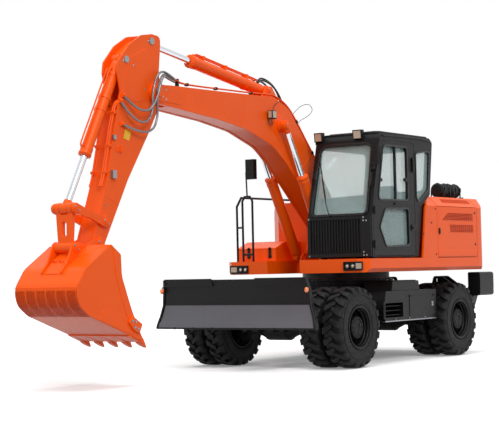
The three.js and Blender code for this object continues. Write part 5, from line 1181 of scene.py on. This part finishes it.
def cab_outside():
    trim, cap, lamps, glass_made, rubber, steel = builds(6)
    screen = [(275, 22, 60), (1120, 22, 60), (1090, 985, 110), (290, 985, 110)]
    trim.join(on_screen(ring_round(screen, 26, 6), 8, 22, 6))
    quarter = [(-5, 2180, 40), (40, 2260, 30), (40, 2860, 50), (-350, 2905, 60), (-290, 2370, 50)]
    right = [(-230, 2330, 50), (1060, 2230, 60), (920, 2925, 80), (-330, 2925, 80)]
    trim.prism(ring_round(quarter, 16, 8), CAB_FACE - 4, CAB_FACE + 10, PLATE, 4)
    trim.prism(ring_round(right, 16, 8), 190, 204, PLATE, 4)
    piece("cab_window_gaskets", trim, HOSE, "upper_structure")
    # roof: rounded cap, raised panel and gutters
    cap.prism(rounded([(-375, 214, 70), (955, 214, 90), (955, 1186, 90), (-375, 1186, 70)]), 3080, 3112,
              SLAB, 13)
    cap.prism(rounded([(-300, 300, 60), (890, 300, 80), (890, 1100, 80), (-300, 1100, 60)]), 3105, 3128,
              SLAB, 9)
    cap.tube(spline([(-380, 1204, 3040), (-100, 1210, 3062), (500, 1210, 3062), (940, 1204, 3050)]), 11, 8)
    cap.tube(spline([(-380, 196, 3040), (-100, 190, 3062), (500, 190, 3062), (940, 196, 3050)]), 11, 8)
    # moulding with two knobs on the left front pillar
    oval = rounded([(1120, 610, 34), (1192, 610, 34), (1184, 905, 34), (1112, 905, 34)])
    cap.join(on_screen(oval, -2, 42, 15))
    for up in (690, 820):
        cap.disc(screen_point(1152, up, 41), SCREEN_OUT, 22, 12, 4, 24)
    handle = [screen_point(1160, up, out) for up, out in ((380, 4), (400, 46), (560, 46), (580, 4))]
    cap.tube(bent(handle, 24), 11, 10)
    piece("cab_roof_cap", cap, BLACK, "upper_structure")
    # roof lamps
    for low, high in ((192, 316), (806, 940)):
        middle = (low + high) / 2
        turn = tipped((1010, middle, 3084), math.radians(7))
        half = (high - low) / 2
        lamps.box((-34, 34), (-half, half), (-58, 62), 10, turn)
        lamps.box((30, 44), (-half - 3, half + 3), (-61, -50), 3, turn)
        lamps.box((30, 44), (-half - 3, half + 3), (53, 65), 3, turn)
        for k in (-1, 1):
            lamps.box((30, 44), (k * half, k * (half - 9)), (-60, 62), 3, turn)
            lamps.box((-12, 12), (k * (half + 1), k * (half + 7)), (-96, 6), 2, turn)
        lamps.box((-16, 16), (-half - 7, half + 7), (-98, -90), 2, turn)
        glass_made.box((32, 39), (-half + 8, half - 8), (-50, 53), 2, turn)
    piece("cab_lamps", lamps, PLASTIC, "upper_structure")
    # deck lamps
    frames = Build()
    for x, round_y, flat, low, high in ((1500, (950, 1034), (1084, 1172), 1258, 1374),
                                        (1250, (-868, -948), (-1112, -1012), 1244, 1356)):
        ys = [round_y[0], round_y[1], *flat]
        lo, hi = min(ys) - (54 if x > 1400 else 12), max(ys) + (12 if x > 1400 else 50)
        ring = [rect((lo, hi), (low, high)), rect((lo + 9, hi - 9), (low + 9, high - 9))]
        frames.prism(ring, x - 6, x + 22, SECTION, 3)
        frames.prism(ring[0], x - 6, x + 5, SECTION, 2)
        middle = (low + high) / 2
        for y in round_y:
            frames.lathe([(26, 0), (37, 0), (37, 14), (31, 16), (26, 9)], (x + 4, y, middle), X, 28, True)
            glass_made.lathe([(0, 11), (10, 10), (26, 5), (26, 0), (0, 0)], (x + 4, y, middle), X, 28)
            steel.disc((x + 12, y, middle), X, 11, 5, 2, 20)
        glass_made.box((x + 3, x + 15), flat, (low + 20, high - 20), 4)
    piece("deck_lamp_frames", frames, BLACK, "upper_structure")
    piece("lamp_glasses", glass_made, TAN, "upper_structure")
    piece("lamp_reflectors", steel, CHROME, "upper_structure")
    # wiper
    rubber.disc(screen_point(560, 8, 12), SCREEN_OUT, 20, 30, 5, 20)
    arm_line = [(560, 8, 40), (500, 150, 44), (420, 400, 40), (385, 520, 34)]
    rubber.tube(spline([screen_point(*place) for place in arm_line]), 7, 8)
    rubber.tube([screen_point(*place, 27) for place in ((470, 240), (390, 510), (315, 770))], 8, 8)
    piece("windscreen_wiper", rubber, HOSE, "upper_structure")


def cab_guard():
    guard, bolts, shade = builds(3)
    x = 1274
    frame_loops = [rect((206, 1196), (1436, 1972)), rect((258, 1040), (1484, 1936))]
    guard.prism(frame_loops, x, x + 26, SECTION, 5)
    for y in range(294, 1030, 44):
        guard.box((x + 6, x + 22), (y - 6, y + 6), (1478, 1942), 3)
    for z in (1632, 1790):
        guard.box((x + 2, x + 12), (252, 1046), (z - 6, z + 6), 3)
    low, high, left, wide = 1486, 1934, 560, 470
    for k in range(-14, 16):
        start = left + k * 32
        for lean in (-1, 1):
            ends = []
            for z in (low, high):
                ends.append((start + (z - low) * 0.62 if lean > 0 else start + wide - (z - low) * 0.62, z))
            (y0, z0), (y1, z1) = ends
            steps = [t / 40 for t in range(41) if left <= y0 + (y1 - y0) * t / 40 <= left + wide]
            if len(steps) > 3:
                pts = [(x + 3, y0 + (y1 - y0) * t, z0 + (z1 - z0) * t) for t in (steps[0], steps[-1])]
                guard.tube(pts, 3, 4)
    for z in (1914, 1956, 1499, 1458):
        for y in (1085, 1130) if z in (1914, 1458) else (1085,):
            bolts.bolt((x + 25, y, z), X, 9, 9)
    for z in (1456, 1954):
        bolts.bolt((x + 25, 232, z), X, 9, 9)
    shade.box((1262, 1272), (252, 1046), (1478, 1942), 2)
    piece("front_guard", guard, BLACK, "upper_structure")
    piece("front_guard_bolts", bolts, STEEL, "upper_structure")
    piece("front_guard_shade", shade, DARK, "upper_structure")


def cab_door_details():
    trim, made = builds(2)
    upper = [(285, 2205, 50), (1085, 2195, 50), (925, 2925, 90), (290, 2925, 60)]
    lower = [(270, 1590, 50), (900, 1570, 60), (1060, 1830, 60), (905, 2075, 60), (280, 2085, 50)]
    for window in (upper, lower):
        trim.prism(ring_round(window, 14, 8), CAB_FACE - 3, CAB_FACE + 9, PLATE, 4)
    trim.box((592, 610), (1166, 1204), (2200, 2928), 4)
    for x, z in ((325, 2480), (1000, 2455)):
        trim.box((x - 16, x + 16), (1166, 1212), (z - 24, z + 24), 6)
    piece("door_window_gaskets", trim, HOSE, "door")
    made.prism(rounded(rect((118, 158), (2590, 2792), 12)), CAB_FACE - 1, CAB_FACE + 28, PLATE, 7)
    made.prism(rounded(rect((112, 212), (1786, 1868), 16)), CAB_FACE - 1, CAB_FACE + 16, PLATE, 5)
    made.tube(bent([(128, 1214, 1826), (128, 1236, 1826), (198, 1236, 1826), (198, 1214, 1826)], 8), 8, 10)
    made.box((130, 1190), (CAB_FACE - 1, CAB_FACE + 6), (1528, 1540), 2)
    made.box((540, 660), (CAB_FACE - 1, CAB_FACE + 18), (2130, 2160), 6)
    for z in (1600, 2050, 2760):
        x = min(1212, 1268 - max(0, z - 1985) * 258 / 1035 - 52)
        made.lathe(rounded(drum(15, 52, 4)), (x, 1212, z), Z, 20)
        made.box((x - 70, x), (CAB_FACE - 1, CAB_FACE + 8), (z - 34, z + 34), 3)
    piece("door_handle_and_hinges", made, PLASTIC, "door")


# ------------------------------------------------------------------ seat and controls

SEAT_Y, SEAT_FLOOR = 700, 1475
VOXEL, MOST_SWELL, CLOTH_STEPS = 10 * MM, 16 * MM, 16


def cushion(name, corners, low, high, place):
    slab = Build().prism(rounded(corners, 0.2), low, high, SLAB, 26)
    made = piece(name, Build().join(slab, place), FABRIC, "upper_structure")
    made.modifiers.clear()
    remesh = made.modifiers.new("remesh", "REMESH")
    remesh.mode = "VOXEL"
    remesh.voxel_size = VOXEL
    bake(made)
    rest = [v.co.copy() for v in made.data.vertices]
    cloth = made.modifiers.new("swell", "CLOTH")
    cloth.settings.quality = 5
    cloth.settings.use_pressure = True
    cloth.settings.uniform_pressure_force = 4
    cloth.settings.effector_weights.gravity = 0
    for step in range(1, CLOTH_STEPS + 1):
        bpy.context.scene.frame_set(step)
    bake(made)
    bpy.context.scene.frame_set(1)
    for vertex, first in zip(made.data.vertices, rest):
        shift = vertex.co - first
        if shift.length > MOST_SWELL:
            vertex.co = first + shift.normalized() * MOST_SWELL
    smooth = made.modifiers.new("smooth", "SMOOTH")
    smooth.factor, smooth.iterations = 0.5, 6
    bake(made)
    made.data.shade_smooth()


def bake(made):
    """Puts the result of an object's modifiers into its mesh."""
    shown = made.evaluated_get(bpy.context.evaluated_depsgraph_get())
    mesh = bpy.data.meshes.new_from_object(shown)
    made.modifiers.clear()
    made.data = mesh


def seat():
    base, steel = builds(2)
    f = SEAT_FLOOR
    up = Matrix.Translation((0, SEAT_Y, f))
    cushion("seat_cushion", [(110, -225, 70), (560, -225, 90), (560, 225, 90), (110, 225, 70)], 305, 405, up)
    tilt = tipped((40, SEAT_Y, f + 400), math.radians(-94))
    cushion("seat_back", [(30, -205, 70), (570, -190, 110), (570, 190, 110), (30, 205, 70)], -50, 40, tilt)
    base.box((120, 540), (SEAT_Y - 200, SEAT_Y + 200), (f + 240, f + 292), 10)
    base.box((160, 500), (SEAT_Y - 170, SEAT_Y + 170), (f + 1, f + 240), 20)
    for fold in range(5):
        base.box((140, 520), (SEAT_Y - 190, SEAT_Y + 190), (f + 40 + fold * 36, f + 58 + fold * 36), 8)
    for k in (-1, 1):
        a, b = sorted((SEAT_Y + k * 275, SEAT_Y + k * 395))
        base.prism(rounded([(150, f + 20, 30), (480, f + 20, 40), (560, f + 440, 40), (540, f + 495, 30),
                            (170, f + 480, 40)]), a, b, PLATE, 14)
        base.box((150, 420), (a + 8, b - 8), (f + 500, f + 536), 14)
        spot = Vector((505, SEAT_Y + k * 335, f + 480))
        base.lathe([(0, 0), (40, 0), (30, 18), (34, 26), (24, 42), (27, 50), (14, 68), (0, 68)], spot, Z, 24)
        steel.tube([spot + Vector((0, 0, 60)), spot + Vector((14, 0, 150))], 8, 12)
        base.lathe(rounded([(0, 0), (20, 0, 6), (27, 50, 14), (24, 112, 16), (0, 118)]),
                   spot + Vector((14, 0, 140)), (0.1, 0, 1), 24)
    base.tube([(955, SEAT_Y, f + 2), (940, SEAT_Y, f + 120), (880, SEAT_Y, f + 520)], 34, 20)
    tube_axis = Vector((-60, 0, 400)).normalized()
    wheel_at = Vector((867, SEAT_Y, f + 557))
    side, forward = Y, tube_axis.cross(Y)
    rim = []
    for k in range(57):
        a = 2 * math.pi * k / 56
        rim.append(wheel_at + side * (182 * math.cos(a)) + forward * (182 * math.sin(a)))
    base.tube(rim, 14, 12)
    for a in (0.5, 2.6, 4.7):
        base.tube([wheel_at - tube_axis * 16,
                   wheel_at + side * (180 * math.cos(a)) + forward * (180 * math.sin(a))], 10, 10)
    base.disc(wheel_at - tube_axis * 30, tube_axis, 46, 42, 10, 28)
    base.box((820, 842), (SEAT_Y + 230, SEAT_Y + 400), (f + 360, f + 470), 8)
    base.tube([(900, SEAT_Y + 300, f + 5), (850, SEAT_Y + 310, f + 380)], 12, 12)
    for y in (-120, 120):
        base.box((960, 1080), (SEAT_Y + y - 50, SEAT_Y + y + 50), (f + 30, f + 52), 8)
        steel.tube([(1020, SEAT_Y + y, f + 2), (1020, SEAT_Y + y, f + 40)], 12, 12)
        base.tube([(1000, SEAT_Y + y * 0.5, f + 40), (960, SEAT_Y + y * 0.5, f + 330)], 9, 10)
    piece("seat_base_and_controls", base, PLASTIC, "upper_structure", ["operator_seat"])
    piece("control_levers", steel, STEEL, "upper_structure")


# ------------------------------------------------------------------ bodywork

def louvre(panel, slats, outline, origin, up, out, pitch=19):
    """Sunk-looking grille: a panel in painted shade behind rows of slats. The outline is given as (X, up)
    corners.
    """
    origin, up, out = Vector(origin), Vector(up), Vector(out)
    axes = (X, up, out)
    place = Matrix.Translation(origin)
    panel.join(Build().prism(outline, 0, 2.2, axes, 0.8), place)
    low, high = min(v for _, v in outline), max(v for _, v in outline)
    rows = int((high - low) / pitch)
    for r in range(rows + 1):
        v = low + 5 + (high - low - 10) * r / rows
        cuts = []
        for (x0, v0), (x1, v1) in zip(outline, outline[1:] + outline[:1]):
            if (v0 - v) * (v1 - v) < 0:
                cuts.append(x0 + (x1 - x0) * (v - v0) / (v1 - v0))
        if len(cuts) == 2:
            a, b = sorted(cuts)
            section = [(v - 3.5, 1), (v + 3.5, 1), (v + 1, 7), (v - 2, 7)]
            slats.join(Build().prism(section, a + 4, b - 4, (up, out, X), 1), place)
            for x in range(int(a) + 30, int(b) - 10, 62):
                if r < rows:
                    slats.join(Build().prism(rect((x, x + 7), (v, min(v + pitch, high))), 1, 4, axes, 0.6),
                               place)


def bodywork():
    upper = [(-1570, 1940), (-610, 1940), (-800, 2050), (-1570, 2050)]
    lower = [(-1585, 1770), (-865, 1770), (-845, 1885), (-1585, 1885)]
    for k, body, name in ((1, "left_engine_door", "left"), (-1, "right_engine_door", "right")):
        panel, slats, trim, dark = builds(4)
        for outline in (upper, lower):
            louvre(panel, slats, outline, (0, k * (HOUSE_FACE - 0.5), 0), Z, (0, k, 0))
        trim.box((-1688, -492), (k * (HOUSE_FACE - 2), k * (HOUSE_FACE + 5)), (1430, 1510), 3)
        trim.prism(rounded(rect((-1680, -500), (1545, 2110), 20)),
                   k * (HOUSE_FACE - 2), k * (HOUSE_FACE + 1.5), PLATE, 1.5)
        for x, z in ((-1640, 1600), (-1640, 2060)):
            dark.disc((x, k * HOUSE_FACE, z), Y * k, 18, 7, 3, 24)
        dark.box((-545, -505), (k * HOUSE_FACE, k * (HOUSE_FACE + 12)), (1740, 1830), 5)
        dark.box((-538, -512), (k * (HOUSE_FACE + 10), k * (HOUSE_FACE + 18)), (1760, 1810), 4)
        # The grille panels behind the slats take painted shade.
        piece(name + "_door_grille_shade", panel, PAINTED_SHADE_ORANGE, body)
        piece(name + "_door_grille_slats", slats, ORANGE, body)
        piece(name + "_door_swages", trim, ORANGE, body)
        piece(name + "_door_latches", dark, PLASTIC, body)
    panel, slats, dark, made = builds(4)
    slope = math.sqrt(0.5)
    for k in (-1, 1):
        outline = [(-1620, 80), (-745, 80), (-760, 152), (-1610, 152)]
        louvre(panel, slats, outline, (0, k * (HOUSE_FACE - 0.5), 2140), (0, -k * slope, slope),
               (0, k * slope, slope), 18)
        for y in (300, 820):
            made.box((-640, -560), (k * y, k * (y + 90)), (2281, 2296), 5)
    piece("hood_grille_shade", panel, PAINTED_SHADE_ORANGE, "hood")
    piece("hood_grille_slats", slats, ORANGE, "hood")
    piece("hood_hinge_pads", made, BLACK, "hood")
    for x, z in ((-60, 1745), (-425, 1460), (-425, 2100), (-300, 1900)):
        for k in (1, -1):
            dark.disc((x, k * (HOUSE_FACE + 1), z), Y * k, 12, 6, 2, 20)
    # rubber latches of the tool box
    for y in (-1010, -650):
        dark.box((948, 972), (y - 16, y + 16), (1452, 1600), 7)
        dark.disc((952, y, 1478), X, 26, 22, 5, 24)
        dark.disc((952, y, 1586), X, 22, 20, 5, 24)
    piece("body_fasteners", dark, PLASTIC, "upper_structure")
    # counterweight: lifting eyes, bolts, two raised strips, rear lamps
    weight, lamp, metal = builds(3)
    for y in (-700, 700):
        weight.lathe(rounded([(24, -13), (52, -13, 8), (52, 13, 8), (24, 13)]), (-1930, y, 2296), X, 32, True)
        weight.lathe([(0, 0), (86, 0), (86, 10), (0, 10)], (-1930, y, 2276), Z, 32)
        for z in (1500, 1990):
            metal.bolt((TAIL_FACE + 1, y * 0.5, z), -X, 24, 14)
    for z in (1700, 1840):
        weight.box((TAIL_FACE - 6, TAIL_FACE + 6), (-690, 690), (z, z + 16), 3)
    for k in (-1, 1):
        low, high = sorted((k * 470, k * 680))
        housing = [rect((low, high), (1560, 1650)), rect((low + 10, high - 10), (1570, 1640))]
        weight.prism(housing, TAIL_FACE - 20, TAIL_FACE + 4, SECTION, 3)
        lamp.box((TAIL_FACE - 12, TAIL_FACE + 2), (low + 8, high - 8), (1568, 1642), 3)
    piece("counterweight_castings", weight, ORANGE, "upper_structure")
    piece("rear_lamp_glasses", lamp, AMBER, "upper_structure")
    piece("counterweight_bolts", metal, STEEL, "upper_structure")


def air_cleaner():
    made, bands = builds(2)
    axis, y, z, r = X, 933, 2392, 98
    for start in (-1652, -1340):
        profile = [(0, 0), (r * 0.55, 0), (r * 0.9, 8), (r, 24)]
        for k in range(9):
            a = 34 + k * 25
            profile += [(r, a), (r - 8, a + 5), (r - 8, a + 12), (r, a + 17)]
        profile += [(r, 270), (r * 0.9, 292), (r * 0.55, 300), (0, 300)]
        made.lathe(profile, (start, y, z), axis, 48)
        for t in (46, 246):
            bands.lathe([(r + 1, t), (r + 7, t), (r + 7, t + 22), (r + 1, t + 22)], (start, y, z), axis, 48,
                        True)
            for k in (-1, 1):
                bands.box((start + t - 2, start + t + 24), (y + k * 70, y + k * 150), (2281, 2296), 4)
                bands.box((start + t + 2, start + t + 20), (y + k * (r - 2), y + k * (r + 10)), (2284, 2392),
                          3)
            bands.box((start + t - 4, start + t + 26), (y - 14, y + 14), (z + r, z + r + 12), 4)
    for x in (-1600, -1480, -1270, -1130):
        bands.box((x - 14, x + 14), (y + r - 6, y + r + 12), (z - 20, z + 44), 5)
    piece("ribbed_air_cleaner", made, PLASTIC, "hood", ["air_cleaner"])
    piece("air_cleaner_bands", bands, BLACK, "hood")


# ------------------------------------------------------------------ undercarriage

def undercarriage():
    ring, bolts = builds(2)
    ring.lathe([(500, 1056), (608, 1056), (611, 1060), (611, 1094), (604, 1099), (600, 1100), (600, 1106),
                (606, 1108), (611, 1112), (611, 1146), (608, 1149), (500, 1149)], (0, 0, 0), Z, 96, True)
    for k in range(44):
        turn = Vector((math.cos(k * math.pi / 22), math.sin(k * math.pi / 22), 0))
        for z in (1078, 1129):
            bolts.bolt(turn * 609 + Z * z, turn, 12, 11)
    collar = Build().lathe([(609, 1153), (618, 1155), (618, 1228), (609, 1229)], (0, 0, 0), Z, 96, True)
    piece("slewing_collar", collar, BLACK, "upper_structure")
    piece("slewing_bearing", ring, BLACK, "undercarriage", ["slew_ring"])
    piece("slewing_bearing_bolts", bolts, PLASTIC, "undercarriage")
    for k, side in ((1, "left"), (-1, "right")):
        door, highlight_rail, lock, step = builds(4)
        face = k * SIDE_BOX_FACE
        door.prism(rounded(rect((-494, 228), (612, 896), 16)),
                   face - k * 2, face + k * 7)
        door.prism(rounded([(-150, 1086, 20), (600, 1086, 20), (640, 1108, 20), (-170, 1108, 20)]),
                   k * 860, k * 1060, PLATE, 5)
        door.prism([rect((400, 944), (598, 826)), rect((420, 924), (616, 808))],
                   face - k * 2, face + k * 8)
        for x in (-470, 200):
            door.lathe(rounded(drum(11, 30, 3)), (x, face + k * 9, 890), X, 16)
        # A light steel rail with bolts along the box's lower edge: a painted highlight of the box's rounded
        # lower edge.
        highlight_rail.box((-548, 900), (face - k * 40, face + k * 6), (556, 572), 3)
        for x in (-200, 240, 620):
            highlight_rail.bolt((x, face + k * 4, 590), Y * k, 8, 7)
        lock.box((-440, -390), (face + k * 6, face + k * 12), (738, 800), 3)
        lock.disc((-415, face + k * 11, 772), Y * k, 14, 8, 3, 20)
        for z in (640, 700, 760):
            step.box((424, 920), (face - k * 60, face - k * 20), (z, z + 12), 3)
        piece(side + "_side_box_door", door, BLACK, "undercarriage")
        piece(side + "_side_box_highlight_rail", highlight_rail, STEEL, "undercarriage")
        piece(side + "_side_box_lock", lock, STEEL, "undercarriage")
        piece(side + "_side_box_step", step, FRAME_BLACK, "undercarriage")


def blade_face():
    x = 2700
    grey, black, amber = builds(3)
    profile = [(62.5, 572), (54, 600), (46, 636), (30, 700), (22, 770), (18, 850)]
    edge = [(540, 1250), (575, 1250), (850, 1165), (1030, 1150), (1180, 1120)]

    def half_at(z):
        for (z0, y0), (z1, y1) in zip(edge, edge[1:]):
            if z <= z1:
                return y0 + (y1 - y0) * (z - z0) / (z1 - z0)
        return edge[-1][1]

    def slab_up(build, rows, back, front, ends):
        """A slab that climbs through rows (x, z), from `back` behind them to `front` before them."""
        rings = []
        for dx, z in rows:
            rings.append([Vector((x + dx + u, v, z)) for v, u in rect(ends(z), (-back, front))])
        loft(build, rings)

    def skin(build, rows, inset, thick):
        slab_up(build, rows, 2, thick, lambda z: (inset - half_at(z), half_at(z) - inset))

    skin(grey, profile, 34, 5)
    skin(grey, [(63, 560), (57, 590), (47, 632)], 20, 10)
    skin(black, [(18, 858), (22, 940), (30, 1060), (44, 1120), (60, 1179)], 30, 5)
    skin(black, [(18, 852), (18, 868)], 28, 11)
    black.box((x + 48, x + 78), (-1250, 1250), (540, 562), 4)
    for k in (-1, 1):
        # end plate along the sloping edge
        edges = [(66, 556), (50, 636), (32, 700), (20, 850), (24, 940), (32, 1060), (62, 1180)]
        slab_up(black, edges, 34, 20, lambda z: (k * half_at(z), k * (half_at(z) - 22)))
        flange = rounded([(k * 318, 1096, 8), (k * 1108, 1090, 8), (k * 1118, 1192, 14), (k * 340, 1192, 14)])
        hole = circle((k * 1078, 1138), 13, 20) if k < 0 else None
        black.prism([flange, hole] if hole else flange, x + 52, x + 68, SECTION, 4)
        black.box((x + 30, x + 66), (k * 318, k * 1110), (1092, 1104), 4)
        y = k * 1138
        black.tube(bent([(x + 40, y, 1090), (x + 74, y, 1086), (x + 78, y, 1056)], 12), 6, 8)
        amber.lathe(rounded([(0, 0), (24, 0, 8), (26, 40, 12), (14, 62, 12), (0, 64)]), (x + 78, y, 1062),
                    (0.25, 0, -1), 28)
        for t in (340, 640, 940):
            black.bolt((x + 77, k * t, 551), X, 12, 7)
    piece("blade_wear_plate", grey, GREY, "blade")
    piece("blade_upper_plate", black, BLACK, "blade")
    piece("blade_side_markers", amber, AMBER, "blade")


cab_outside()
cab_guard()
cab_door_details()
seat()
bodywork()
air_cleaner()
undercarriage()
blade_face()

FINISHES = {
    ORANGE: ("deck_frame", "counterweight", "house_frame", "engine_hood", "left_rear_door",
             "right_rear_door", "fuel_tank", "front_tool_box", "tool_box_lid"),
    BLACK: ("left_side_box", "right_side_box", "left_stabiliser", "right_stabiliser", "cab_frame",
            "cab_door", "handrail", "blade_arms", "blade_top_link", "dozer_blade"),
    FRAME_BLACK: ("chassis_frame", "front_axle", "rear_axle", "transmission", "left_knuckle", "right_knuckle",
                  "engine_block"),
    GLASS: ("door_glass", "windscreen", "quarter_glass", "right_glass", "rear_glass"),
}
for finish, names in FINISHES.items():
    for name in names:
        finish_node(name, finish, 0 if finish is GLASS else 5)
